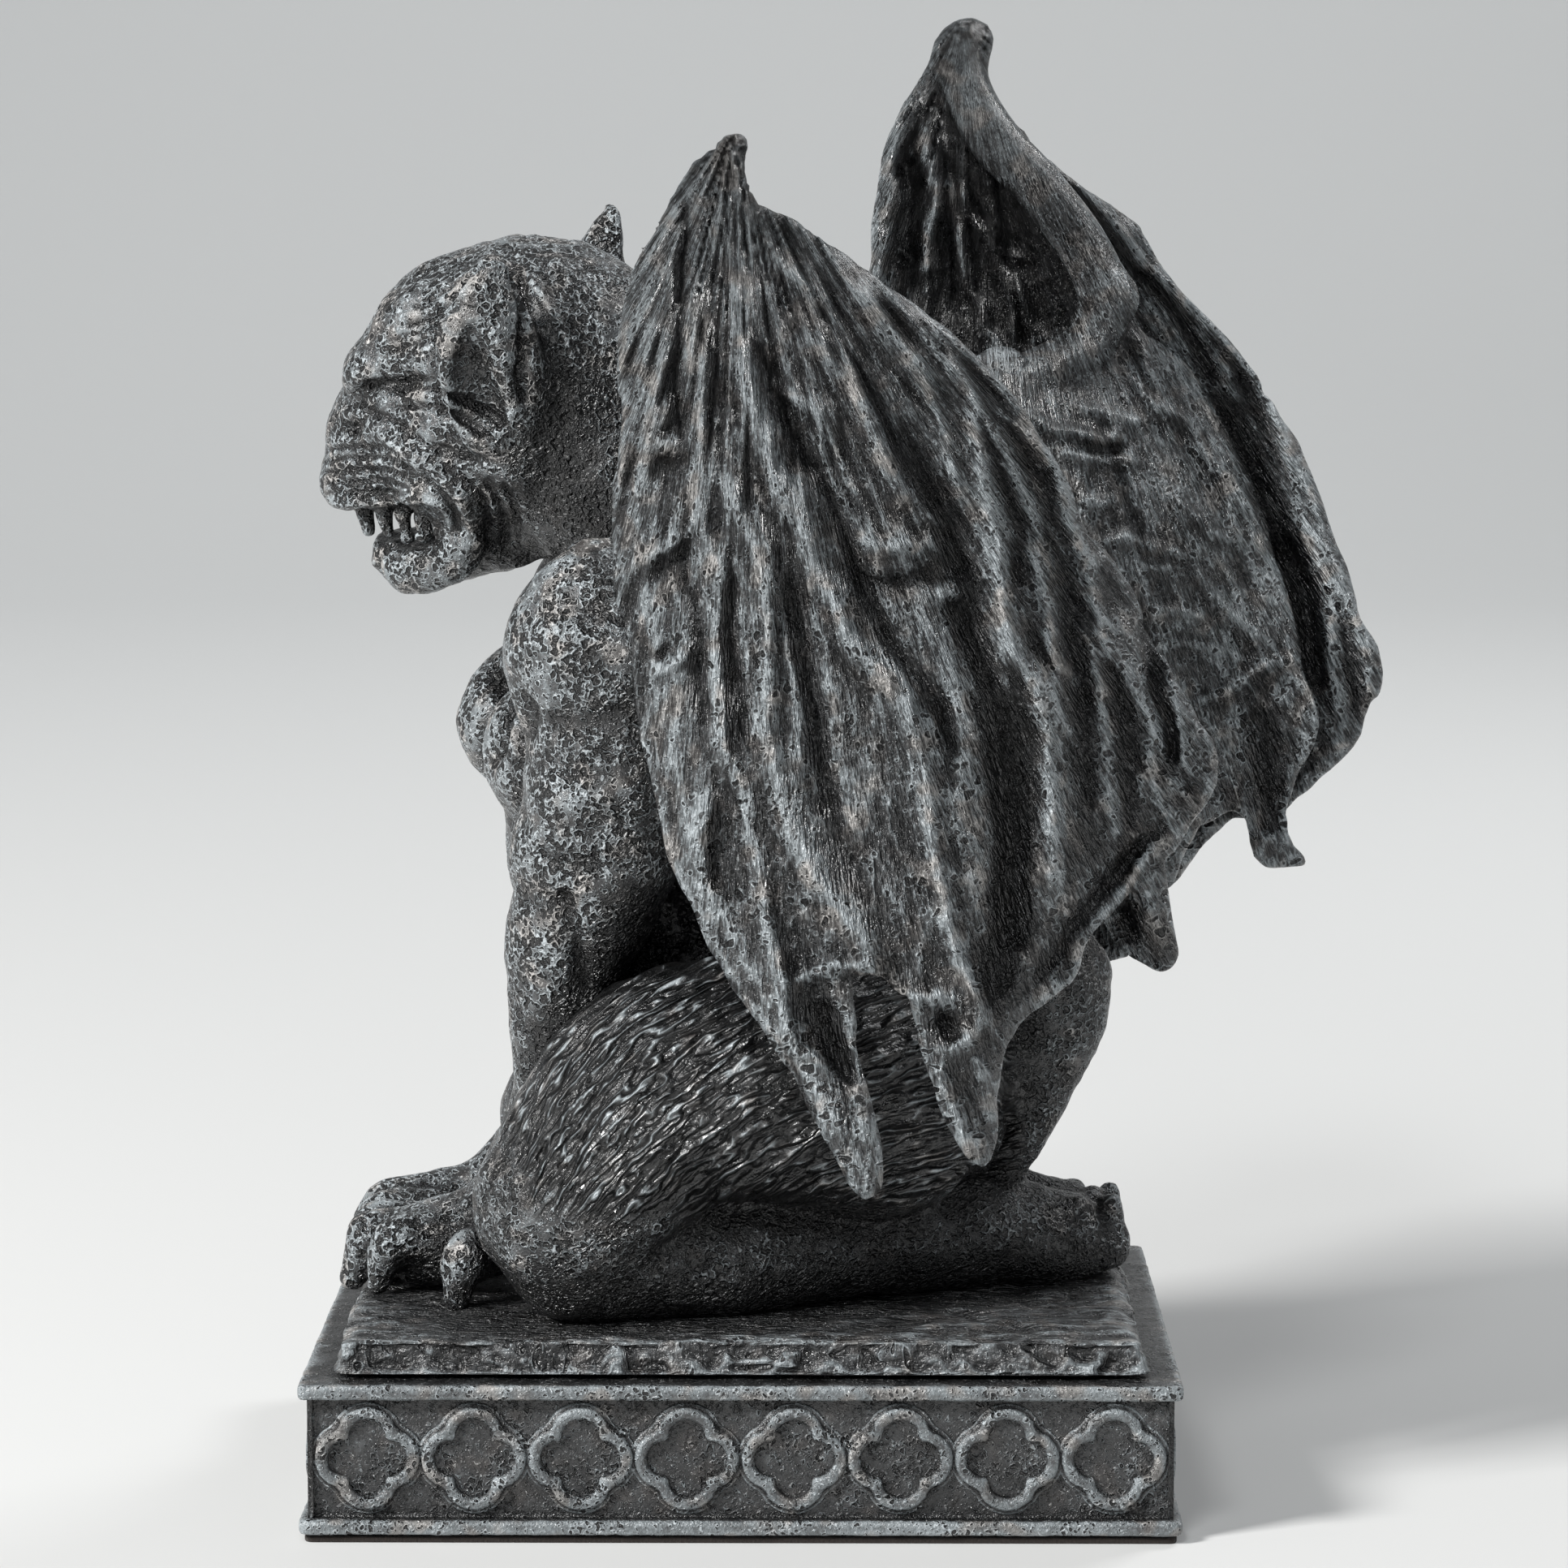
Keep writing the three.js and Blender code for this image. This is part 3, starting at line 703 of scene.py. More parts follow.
class PictureClay:
    """A block of space laid out as the picture sees it: across, down and depth along Y."""

    def __init__(self, low: tuple, high: tuple, pitch: float, layer: float) -> None:
        """Empty block between two corners in picture points and millimetres of depth."""
        self.pitch, self.layer = pitch, layer
        self.across = np.arange(low[0], high[0] + pitch, pitch)
        self.down = np.arange(low[1], high[1] + pitch, pitch)
        self.depth = np.arange(low[2], high[2] + layer, layer)
        self.field = np.full((len(self.across), len(self.down), len(self.depth)), FAR, dtype=np.float32)

    def add(self, shape: Lump | Limb, blend: float = 1.5) -> None:
        """Blends a form given in millimetres into the block."""
        made = np.full(self.field.shape, FAR, dtype=np.float32)
        for low, high, part in shape.boxes(blend + 1.0):
            corners = np.array([[x, y, z] for x in (low[0], high[0]) for y in (low[1], high[1]) for z in (low[2], high[2])])
            across, down = VIEW.project(corners)
            i = np.searchsorted(self.across, [across.min(), across.max()])
            j = np.searchsorted(self.down, [down.min(), down.max()])
            k = np.searchsorted(self.depth, [low[1], high[1]])
            if i[0] == i[1] or j[0] == j[1] or k[0] == k[1]:
                continue
            a, b, c = self.across[i[0] : i[1]], self.down[j[0] : j[1]], self.depth[k[0] : k[1]]
            places = VIEW.place_at(a[:, None, None] + 0 * c, b[None, :, None] + 0 * c, c[None, None, :] + 0 * b[None, :, None])
            found = shape.distance(places[..., 0], places[..., 1], places[..., 2], part)
            view = made[i[0] : i[1], j[0] : j[1], k[0] : k[1]]
            np.minimum(view, found, out=view)
        self.field = soft_min(self.field, made, blend)

    def carve(self) -> Carving:
        """The block's surface as a mesh in millimetres."""
        points, quads = skin_of(self.field)
        low = np.array([self.across[0], self.down[0], self.depth[0]])
        spots = low + points * np.array([self.pitch, self.pitch, self.layer])
        return Carving(VIEW.place_at(spots[:, 0], spots[:, 1], spots[:, 2]), quads)

    def filled_at(self, points: Array) -> Array:
        """Which places lie inside the clay."""
        across, down = VIEW.project(points)
        spot = np.stack(
            [
                (across - self.across[0]) / self.pitch,
                (down - self.down[0]) / self.pitch,
                (points[:, 1] - self.depth[0]) / self.layer,
            ],
            1,
        )
        spot = np.rint(spot).astype(int)
        ok = ((spot >= 0) & (spot < self.field.shape)).all(1)
        out = np.zeros(len(points), dtype=bool)
        s = spot[ok]
        out[ok] = self.field[s[:, 0], s[:, 1], s[:, 2]] < 0
        return out


@dataclass
class NearWing:
    """The wing on the camera's side, folded down along the back with two long tips."""

    wrist: tuple[float, float] = (905.0, 190.0)
    fingers: tuple = (
        ((-6.5, -28.5, 151), (-12.5, -27, 138), (-14.2, -26, 114), (-11.5, -28, 92), (-4.5, -33, 70),
         (5.5, -37, 50), (12.5, -37.5, 39.5)),
        ((-4.5, -30.5, 152), (-5.5, -31.5, 134), (-5, -33, 112), (-1, -36, 90), (5, -38, 68),
         (11, -38, 52), (15.5, -37, 39)),
        ((-2.4, -31.3, 152.2), (3.5, -33, 132), (8, -35.5, 110), (13, -37, 90), (18, -37.5, 74),
         (22, -37, 64), (26, -36, 58)),
        ((-0.4, -31.3, 151.8), (8, -32, 135), (16.5, -34.5, 114), (21.5, -36, 92), (24.5, -36.5, 72),
         (25.5, -36, 56), (26.5, -35, 42.5)),
        ((1.4, -30.8, 151), (11, -30.5, 137), (24, -31.5, 116), (31, -32.5, 95), (34, -31.5, 78),
         (34.5, -30, 67), (35, -29, 59)),
        ((3, -30, 149.8), (14, -29, 139.5), (29, -28, 120), (37, -26, 102), (41.5, -24, 86),
         (44, -21.5, 74), (47.5, -19, 66)),
        ((4.4, -29, 148), (14.5, -27.5, 142.4), (27.6, -25.5, 131.6), (36.5, -22.5, 118.6),
         (41.5, -19.5, 105), (48.5, -17, 96), (55, -15, 88)),
    )
    outline: tuple = (
        (890, 166), (905, 160), (918, 163), (927, 172), (926, 185), (921, 200), (919, 217), (923, 236), (935, 250),
        (960, 262), (985, 275), (1012, 290), (1035, 307), (1060, 325), (1080, 340), (1100, 352), (1125, 372),
        (1150, 392), (1180, 415), (1205, 440), (1230, 465), (1252, 492), (1265, 510), (1280, 535), (1300, 560),
        (1315, 585), (1325, 610), (1338, 642), (1348, 660), (1362, 672), (1378, 690), (1392, 715), (1405, 745),
        (1418, 775), (1433, 800), (1447, 830), (1465, 860), (1480, 888), (1498, 912), (1505, 938), (1502, 965),
        (1488, 993), (1468, 1022), (1452, 1048), (1430, 1069), (1400, 1097), (1370, 1127), (1345, 1150),
        (1338, 1165), (1332, 1190), (1322, 1213), (1300, 1232), (1275, 1250), (1258, 1268), (1246, 1290),
        (1236, 1320), (1229, 1355), (1232, 1375), (1230, 1405), (1222, 1430), (1212, 1441), (1195, 1428),
        (1180, 1410), (1165, 1385), (1152, 1355), (1142, 1330), (1135, 1300), (1125, 1260), (1118, 1230),
        (1105, 1226), (1095, 1218), (1085, 1208), (1070, 1200), (1050, 1202), (1050, 1230), (1055, 1260),
        (1060, 1295), (1066, 1325), (1072, 1350), (1080, 1380), (1086, 1410), (1089, 1440), (1088, 1462),
        (1080, 1475), (1065, 1478), (1050, 1465), (1038, 1450), (1030, 1430), (1015, 1405), (1000, 1380),
        (990, 1355), (975, 1325), (955, 1295), (935, 1270), (915, 1240), (898, 1215), (883, 1190), (870, 1165),
        (857, 1135), (845, 1110), (835, 1095), (827, 1070), (818, 1040), (810, 1000), (803, 970), (795, 940),
        (788, 900), (785, 880), (778, 850), (772, 820), (765, 790), (760, 770), (757, 740), (752, 700),
        (750, 650), (755, 600), (760, 560), (760, 500), (758, 440), (760, 410), (763, 385), (768, 365),
        (775, 340), (787, 305), (798, 290), (810, 275), (818, 260), (823, 245), (830, 228), (843, 213),
        (852, 200), (865, 190), (880, 178),
    )
    folds: tuple = (
        # Leading edge: a round roll with a thin rim at each side of it.
        Fold(((862, 205), (832, 262), (800, 330), (795, 420), (796, 520), (790, 620), (797, 720), (808, 800),
              (822, 880), (838, 960), (860, 1050), (890, 1130), (925, 1200), (960, 1260), (1000, 1330),
              (1040, 1400), (1062, 1450)), 1.15, 30, 26),
        Fold(((845, 240), (842, 300), (840, 380), (838, 450), (840, 520), (848, 560)), -1.1, 7, 8),
        Fold(((770, 372), (766, 430), (768, 520), (760, 620), (760, 720), (772, 800), (786, 870), (803, 955),
              (822, 1040), (845, 1100), (880, 1170), (920, 1230), (965, 1290), (1000, 1350), (1030, 1410)), 0.55, 7, 8),
        Fold(((862, 300), (857, 360), (856, 400), (862, 430), (868, 470), (866, 520), (860, 600), (865, 650),
              (880, 700), (881, 790), (884, 870), (892, 910), (900, 935), (915, 970), (928, 1040), (937, 1090),
              (948, 1140), (957, 1180), (965, 1215), (968, 1262), (985, 1290), (1015, 1315), (1045, 1345),
              (1068, 1385), (1080, 1430)), 1.05, 9, 12),
        Fold(((880, 300), (878, 380), (886, 460), (878, 520)), -0.7, 14, 14),
        Fold(((850, 600), (846, 680), (858, 750), (862, 850), (868, 900)), -1.0, 13, 10),
        # Flaps that hang between the leading edge and the next ridge.
        Fold(((800, 540), (818, 546), (838, 540), (852, 528)), 0.8, 8, 18, 0.3),
        Fold(((806, 560), (828, 572), (850, 560)), -0.7, 9, 18, 0.35),
        Fold(((855, 600), (850, 645), (820, 675), (780, 705)), 0.9, 10, 16, 0.2),
        Fold(((790, 724), (808, 712), (830, 690), (850, 655)), -0.9, 10, 18, 0.35),
        Fold(((850, 790), (838, 815), (810, 830), (795, 832)), 0.9, 8, 14, 0.3),
        Fold(((798, 812), (812, 806), (832, 790)), -0.7, 7, 12, 0.35),
        Fold(((878, 960), (872, 1000), (850, 1025), (832, 1040)), 0.8, 8, 16, 0.3),
        Fold(((872, 1030), (880, 1060), (896, 1100)), -0.8, 16, 16, 0.3),
        # Long ridges.
        Fold(((880, 540), (893, 600), (915, 645), (937, 700), (950, 760), (948, 830), (945, 900), (955, 960),
              (975, 1020), (1005, 1075), (1040, 1130), (1075, 1180), (1100, 1215)), 1.3, 16, 15),
        Fold(((895, 700), (896, 745), (897, 790), (912, 860), (922, 920)), -1.5, 9, 12),
        Fold(((905, 345), (912, 430), (925, 480), (950, 560), (975, 620), (1000, 690), (1030, 740), (1050, 790),
              (1090, 830), (1120, 880), (1135, 930), (1147, 1000), (1155, 1060), (1160, 1110), (1180, 1170),
              (1200, 1205), (1213, 1240)), 1.5, 15, 15),
        Fold(((925, 400), (945, 450), (985, 540), (1010, 590), (1045, 670), (1075, 740), (1110, 800), (1145, 860),
              (1165, 920), (1170, 960)), -1.7, 12, 11),
        Fold(((935, 440), (960, 475), (1000, 500), (1025, 525)), 0.9, 8, 10, 0.3),
        Fold(((965, 700), (985, 780), (1000, 860), (1010, 940), (1030, 1020), (1065, 1090)), -1.3, 15, 15),
        Fold(((980, 400), (1040, 470), (1080, 540), (1110, 590), (1150, 640), (1165, 672)), 1.5, 15, 16),
        Fold(((1055, 650), (1085, 668), (1120, 672), (1160, 668)), 1.2, 13, 16, 0.3),
        Fold(((1050, 700), (1090, 716), (1130, 712), (1165, 700)), -1.0, 10, 20, 0.35),
        Fold(((1148, 736), (1166, 730), (1186, 722)), 1.0, 14, 14, 0.3),
        Fold(((950, 300), (1000, 370), (1040, 430), (1070, 500), (1100, 560), (1115, 600)), 1.2, 11, 12),
        Fold(((1000, 370), (1050, 440), (1090, 520), (1115, 590)), -1.0, 7, 8),
        Fold(((1040, 340), (1090, 400), (1130, 450), (1160, 520), (1180, 580), (1190, 620)), 1.2, 13, 13),
        Fold(((1110, 540), (1130, 590), (1160, 640), (1180, 700), (1195, 770), (1215, 850), (1225, 900),
              (1235, 960), (1245, 1040), (1240, 1120), (1225, 1200), (1215, 1280)), -2.1, 20, 22),
        Fold(((1238, 840), (1250, 920), (1256, 1000), (1250, 1090), (1238, 1180)), -1.5, 22, 26),
        Fold(((1100, 370), (1150, 410), (1190, 470), (1200, 520), (1215, 600), (1230, 680), (1240, 760),
              (1245, 800), (1270, 830), (1285, 890), (1295, 950), (1300, 1000), (1303, 1060), (1310, 1120)),
             1.5, 14, 15),
        Fold(((1180, 470), (1222, 560), (1248, 650), (1262, 740)), -0.9, 8, 9),
        Fold(((1200, 500), (1240, 560), (1270, 640), (1290, 750), (1300, 850), (1310, 950)), 1.2, 12, 13),
        Fold(((1250, 540), (1290, 630), (1312, 720), (1330, 820), (1338, 930), (1345, 1030)), -1.2, 12, 14),
        Fold(((1100, 360), (1160, 400), (1230, 470), (1290, 560), (1320, 640), (1340, 700), (1360, 780),
              (1395, 845), (1412, 872), (1420, 910), (1422, 950), (1435, 1000), (1447, 1022)), 1.3, 12, 12),
        Fold(((1405, 760), (1418, 800), (1422, 850), (1440, 900), (1445, 950)), -1.7, 12, 10),
        Fold(((1372, 800), (1385, 880), (1392, 960), (1388, 1030)), -1.1, 14, 14),
        Fold(((1340, 780), (1362, 880), (1372, 960), (1376, 1050)), 0.9, 12, 12),
        Fold(((1425, 790), (1445, 840), (1452, 900), (1458, 950), (1466, 1000)), 0.9, 8, 8),
        Fold(((1455, 940), (1462, 962), (1470, 982)), -1.0, 6, 6, 0.3),
        Fold(((1460, 850), (1488, 900), (1500, 940), (1490, 980), (1465, 1022)), 0.7, 9, 12),
        # Hems.
        Fold(((968, 1215), (1010, 1196), (1050, 1187), (1078, 1194), (1100, 1220), (1120, 1228), (1172, 1228)),
             1.0, 8, 14, 0.1),
        Fold(((1190, 1200), (1212, 1238), (1206, 1270), (1180, 1292), (1152, 1290)), 1.2, 13, 13, 0.2),
        Fold(((1152, 1245), (1168, 1262), (1180, 1288)), -1.4, 12, 14, 0.3),
        Fold(((1010, 1225), (1018, 1265), (1032, 1310), (1048, 1350)), -1.8, 17, 17, 0.2),
        Fold(((1447, 1022), (1420, 1045), (1400, 1075), (1375, 1105), (1350, 1135), (1335, 1160), (1330, 1200),
              (1300, 1225), (1270, 1255)), 1.1, 11, 11),
        Fold(((1425, 1022), (1395, 1052), (1368, 1082), (1342, 1112), (1318, 1140), (1300, 1180), (1262, 1222)),
             -1.0, 9, 10),
        Fold(((1150, 1300), (1165, 1350), (1185, 1395), (1208, 1425)), 0.8, 12, 12),
        Fold(((1205, 1300), (1218, 1340), (1220, 1390)), 0.7, 10, 10),
    )

    lobe: tuple = (
        (((1412, 1082, -17.5), (1420, 1125, -17), (1433, 1172, -17)), (2.4, 2.2, 1.8)),
        (((1372, 1128, -15), (1392, 1160, -15.5), (1430, 1182, -16.5)), (1.4, 1.4, 1.4)),
        (((1400, 1090, -14.5), (1408, 1145, -14.5)), (1.6, 1.2)),
    )
    # Painted shade in the wing's deep valleys, its hem pockets and over its right-hand part.
    washes: tuple = (
        Fold(((1385, 1120), (1396, 1160)), 0.8, 16, 16),
        Fold(((1238, 830), (1250, 950), (1252, 1060), (1240, 1200), (1222, 1270)), 0.75, 34, 40),
        Fold(((1110, 540), (1150, 620), (1185, 720), (1215, 840)), 0.4, 20, 22),
        Fold(((1300, 700), (1345, 850), (1370, 980), (1330, 1090), (1270, 1200)), 0.22, 70, 60),
        Fold(((1010, 1225), (1020, 1270), (1036, 1320)), 0.5, 20, 20),
        Fold(((1168, 1245), (1178, 1275)), 0.5, 14, 14),
    )

    def places(self) -> Array:
        """Known places on the middle surface, drawn in so that the folds stay inside the part's box."""
        points = np.array([p for finger in self.fingers for p in finger], dtype=float)
        points[:, 1] = np.maximum(points[:, 1] + 1.0, -36.6)
        extra = np.array([(-3, -29.5, 147), (-2, -29.5, 153.5), (0.3, -29, 157)], dtype=float)
        return np.vstack([points, extra])

    def build(self) -> tuple[PictureClay, Carving]:
        """Models the wing."""
        block = PictureClay((738, 148, -40.2), (1520, 1490, -9.0), 3.5, 0.33)
        sheet = Sheet(self.places(), self.outline, self.folds, self.wrist, 2.6, 0.4, 1.7, 11)
        sheet.fill(block)
        for path, radii in self.lobe:
            marks = np.array(path, dtype=float)
            bones = VIEW.place_at(marks[:, 0], marks[:, 1], marks[:, 2])
            block.add(Limb(tuple(map(tuple, bones)), radii), 1.2)
        wing = block.carve()
        wing.relax(1)
        roots = Clay((-14, -34, 80), (34, 2, 152), 0.8)
        roots.add(Limb(((4, -6, 102), (14, -15, 118), (12, -23, 131), (2, -26.5, 145)), (8, 6, 4.5, 3.0)))
        roots.add(Limb(((2, -8, 100), (-2, -22, 97)), (12, 9.5)), 5.0)
        root = roots.carve()
        root.push(0.5 * layered(root.points, 4.0, 3, 8))
        both = wing.joined_to(root)
        both.measure(5, 0.08, 4, 0.5)
        sheet.paint(both, self.washes)
        return block, both


@dataclass
class FarWing:
    """The wing on the far side, seen from inside: arm, webs of skin and a thin veil."""

    wrist: tuple[float, float] = (1185.0, 60.0)
    fingers: tuple = (
        ((19.5, 37.5, 162), (16.5, 37, 152), (13.5, 34, 132), (11, 29, 110), (14, 31, 88), (20, 35, 66), (28, 37, 46)),
        ((21.8, 38.5, 162.6), (22, 39.5, 150), (22, 39, 130), (22, 37, 108), (26, 38, 86), (31, 39, 66), (36, 38, 46)),
        ((24, 39.2, 162.8), (29, 41.5, 147), (33, 42, 128), (36, 41, 108), (40, 40, 88), (44, 36, 70), (47, 31, 55)),
        ((26.2, 39.4, 162.4), (36, 42, 147.5), (45, 44, 130), (50, 43, 112), (53, 41, 94), (55, 38, 82), (56, 33, 71)),
        ((28.2, 39.2, 161.4), (38.5, 42, 149.4), (51.5, 45, 133), (59.5, 45, 116), (64.5, 43, 98), (66.5, 40, 85),
         (68, 37, 74)),
        ((30, 38.6, 160), (40, 41, 151.2), (56, 43.5, 135.4), (66, 43, 121.2), (72.2, 41, 108), (76, 39, 97),
         (78.6, 38, 88)),
    )
    veil: tuple = (
        ((6, 12, 104), (22, 12, 118), (33, 14, 108), (42, 16, 96), (47, 18, 84), (49, 20, 74)),
        ((31, 19, 130), (40, 20, 118), (47, 22, 106), (52, 25, 96), (55, 28, 88.5)),
        ((40, 29, 133), (49, 30, 122), (57, 31, 110), (62.5, 32, 100), (66, 32.5, 92.5)),
        ((46, 36, 137), (56, 37.5, 124), (65, 36, 106), (69.5, 33.5, 95), (70, 32, 86)),
        ((68, 32.5, 90), (65.4, 32.5, 79), (66.8, 32, 70)),
    )
    outline: tuple = (
        (1160, 38), (1180, 27), (1200, 25), (1218, 32), (1226, 45), (1224, 58), (1215, 75), (1205, 90), (1204, 103),
        (1210, 115), (1225, 130), (1245, 148), (1262, 163), (1280, 182), (1300, 200), (1315, 213), (1335, 228),
        (1355, 240), (1375, 255), (1400, 275), (1413, 293), (1420, 305), (1435, 330), (1460, 360), (1480, 380),
        (1500, 400), (1520, 425), (1550, 460), (1575, 500), (1600, 545), (1615, 580), (1630, 615), (1645, 655),
        (1660, 695), (1667, 720), (1672, 750), (1685, 780), (1697, 800), (1702, 825), (1703, 845), (1700, 858),
        (1690, 865), (1682, 885), (1680, 905), (1670, 920), (1655, 935), (1640, 950), (1620, 965), (1600, 985),
        (1590, 1000), (1560, 1012), (1520, 1010), (1485, 1040), (1455, 1080), (1420, 1120), (1390, 1180),
        (1350, 1190), (1330, 1230), (1300, 1270), (1230, 1290), (1180, 1260), (1140, 1200), (1100, 1120),
        (1070, 1030), (1050, 930), (1035, 800), (1028, 650), (1040, 500), (1058, 400), (1069, 325), (1073, 290),
        (1076, 265), (1080, 240), (1083, 215), (1086, 190), (1092, 170), (1103, 145), (1112, 125), (1125, 105),
        (1135, 88), (1143, 70), (1150, 50),
    )
    veil_outline: tuple = (
        (1392, 392), (1372, 398), (1345, 412), (1310, 424), (1280, 436), (1245, 448), (1200, 462), (1150, 480),
        (1100, 520), (1040, 600), (1040, 700), (1120, 800), (1250, 900), (1350, 1000), (1400, 1085), (1448, 1090),
        (1455, 1060), (1465, 1040), (1480, 1020), (1500, 1010), (1520, 1003), (1532, 1012), (1536, 1035),
        (1545, 1055), (1560, 1068), (1585, 1071), (1610, 1070), (1614, 1063), (1608, 1050), (1595, 1040),
        (1588, 1025), (1587, 1005), (1590, 990), (1596, 965), (1602, 950), (1612, 935), (1620, 915), (1625, 895),
        (1622, 875), (1615, 850), (1606, 815), (1594, 765), (1582, 715), (1566, 655), (1548, 600), (1530, 560),
        (1510, 520), (1490, 485), (1462, 450), (1430, 418),
    )
    folds: tuple = (
        Fold(((1120, 130), (1102, 170), (1097, 215), (1092, 265), (1085, 330), (1078, 420)), 1.1, 12, 13),
        Fold(((1118, 190), (1118, 240), (1122, 290), (1120, 335)), -1.3, 14, 14),
        Fold(((1104, 300), (1118, 312), (1130, 326)), 0.7, 6, 6, 0.3),
        Fold(((1145, 160), (1149, 220), (1150, 260), (1147, 300), (1143, 350)), 1.2, 9, 9),
        Fold(((1165, 215), (1172, 240), (1176, 270), (1180, 300), (1188, 330), (1200, 360), (1207, 385), (1208, 410),
              (1212, 430)), 0.8, 6, 6),
        Fold(((1180, 225), (1190, 245), (1200, 270), (1215, 295), (1222, 310), (1228, 335), (1240, 360), (1247, 390),
              (1248, 430)), 0.8, 6, 6),
        Fold(((1212, 245), (1222, 265), (1228, 285), (1225, 305)), 0.6, 5, 5),
        Fold(((1225, 310), (1240, 340), (1258, 370), (1270, 395), (1283, 430)), 0.7, 6, 6),
        Fold(((1222, 305), (1240, 315), (1265, 325)), 0.5, 5, 5),
        Fold(((1215, 405), (1228, 425), (1240, 440)), 0.9, 8, 8),
        Fold(((1300, 200), (1340, 240), (1370, 270), (1395, 300), (1410, 330), (1440, 355), (1460, 380), (1480, 400),
              (1500, 430), (1515, 460), (1520, 490)), 1.3, 11, 12),
        Fold(((1400, 330), (1420, 360), (1440, 385), (1460, 410), (1480, 440), (1500, 475)), -1.6, 9, 9),
        Fold(((1400, 285), (1450, 350), (1510, 420), (1560, 490), (1600, 570), (1630, 650), (1655, 730),
              (1680, 800), (1690, 845)), 0.9, 11, 9),
        Fold(((1470, 400), (1520, 455), (1560, 520), (1590, 590), (1612, 660)), -0.7, 10, 10),
        Fold(((1555, 480), (1570, 510), (1578, 540), (1590, 580), (1600, 620), (1615, 660), (1630, 700), (1640, 740),
              (1642, 780), (1640, 830), (1650, 870), (1665, 890)), 1.3, 12, 12),
        Fold(((1510, 500), (1530, 545), (1550, 590), (1565, 640), (1580, 700)), -2.2, 14, 12),
        Fold(((1580, 650), (1592, 700), (1608, 745), (1618, 790), (1625, 850)), -2.2, 14, 12),
        Fold(((1655, 760), (1665, 820), (1672, 880)), -0.8, 9, 9),
    )
    veil_folds: tuple = (
        Fold(((1400, 405), (1412, 450), (1440, 490), (1470, 530)), 0.8, 9, 10),
        Fold(((1400, 460), (1415, 490), (1440, 505), (1465, 520), (1480, 545), (1500, 570), (1530, 610), (1555, 640)),
             1.0, 8, 10),
        Fold(((1440, 610), (1460, 625), (1485, 640), (1500, 655), (1530, 665)), 0.9, 7, 9),
        Fold(((1470, 690), (1500, 730), (1530, 760), (1575, 795)), 1.0, 8, 9),
        Fold(((1325, 500), (1355, 508), (1385, 515), (1410, 520)), 0.8, 6, 8),
        Fold(((1270, 510), (1300, 530), (1340, 535), (1365, 540), (1375, 525)), 0.9, 7, 8),
        Fold(((1330, 548), (1360, 552), (1392, 545)), -0.8, 7, 7),
        Fold(((1300, 560), (1340, 562), (1385, 562), (1400, 575)), 0.8, 6, 7),
        Fold(((1335, 610), (1350, 616), (1370, 618)), 0.7, 7, 7),
        Fold(((1360, 665), (1395, 660), (1420, 670), (1455, 680), (1470, 690)), 0.9, 7, 8),
        Fold(((1410, 695), (1430, 700), (1450, 700)), 0.6, 6, 6),
        Fold(((1420, 750), (1450, 750), (1490, 755)), 0.7, 8, 8),
        Fold(((1430, 790), (1465, 792), (1500, 800)), 0.7, 8, 8),
        Fold(((1470, 868), (1500, 858), (1525, 845), (1550, 820), (1572, 812), (1600, 818)), 1.1, 9, 11, 0.05),
        Fold(((1600, 818), (1613, 850), (1620, 890), (1612, 925), (1597, 958), (1588, 1000), (1592, 1040)), 1.0, 9, 9),
        Fold(((1548, 870), (1560, 920), (1558, 980), (1560, 1040)), -1.4, 18, 18),
    )

    forearm: tuple = (
        (1188, 58, 38), (1192, 110, 37), (1225, 172, 36), (1278, 228, 35.5), (1330, 296, 35), (1368, 368, 33.5),
    )
    upper_arm: tuple = (
        (1368, 368, 33.5), (1340, 424, 30), (1280, 458, 25), (1210, 486, 20.5), (1150, 508, 17.5),
    )
    # Painted shade in the deep hollow inside the wing's arm and along its darkest grooves.
    washes: tuple = (
        Fold(((1205, 235), (1235, 300), (1262, 370), (1280, 420)), 0.8, 55, 45),
        Fold(((1150, 330), (1175, 400), (1190, 440)), 0.7, 40, 40),
        Fold(((1122, 190), (1120, 260), (1124, 330)), 0.6, 16, 18),
        Fold(((1505, 480), (1530, 545), (1552, 600), (1580, 680), (1606, 745), (1620, 840)), 0.6, 15, 15),
        Fold(((1560, 860), (1562, 940), (1560, 1030)), 0.5, 22, 22),
    )

    def build(self) -> tuple[PictureClay, Carving]:
        """Models the wing."""
        block = PictureClay((1016, 14, 9.0), (1716, 1302, 47.6), 4.1, 0.42)
        outer = np.array([p for finger in self.fingers for p in finger], dtype=float)
        outer[:, 1] = np.minimum(outer[:, 1], 43.6)
        outer = np.vstack([outer, [(24.5, 37.5, 166), (26.5, 38, 170)]])
        inner = np.array([p for finger in self.veil for p in finger], dtype=float)
        sheet = Sheet(outer, self.outline, self.folds, self.wrist, 2.8, 0.35, 1.7, 31)
        sheet.fill(block)
        Sheet(inner, self.veil_outline, self.veil_folds, self.wrist, 2.2, 0.3, 1.4, 47).fill(block)
        for path, radii in ((self.forearm, (2.6, 3.0, 3.2, 3.1, 3.2, 3.2)), (self.upper_arm, (3.2, 3.0, 2.9, 3.2, 3.4))):
            marks = np.array(path, dtype=float)
            block.add(Limb(tuple(map(tuple, VIEW.place_at(marks[:, 0], marks[:, 1], marks[:, 2]))), radii), 1.6)
        wing = block.carve()
        wing.relax(1)
        roots = Clay((-14, -4, 84), (40, 32, 138), 0.8)
        roots.add(Limb(((-2, 8, 98), (6, 13, 105), (15, 14, 116.5), (24, 17, 124), (31, 22.5, 129)), (10, 9.5, 7.4, 5.2, 3.6)))
        root = roots.carve()
        root.push(0.5 * layered(root.points, 4.0, 3, 8))
        both = wing.joined_to(root)
        both.measure(5, 0.08, 4, 0.5)
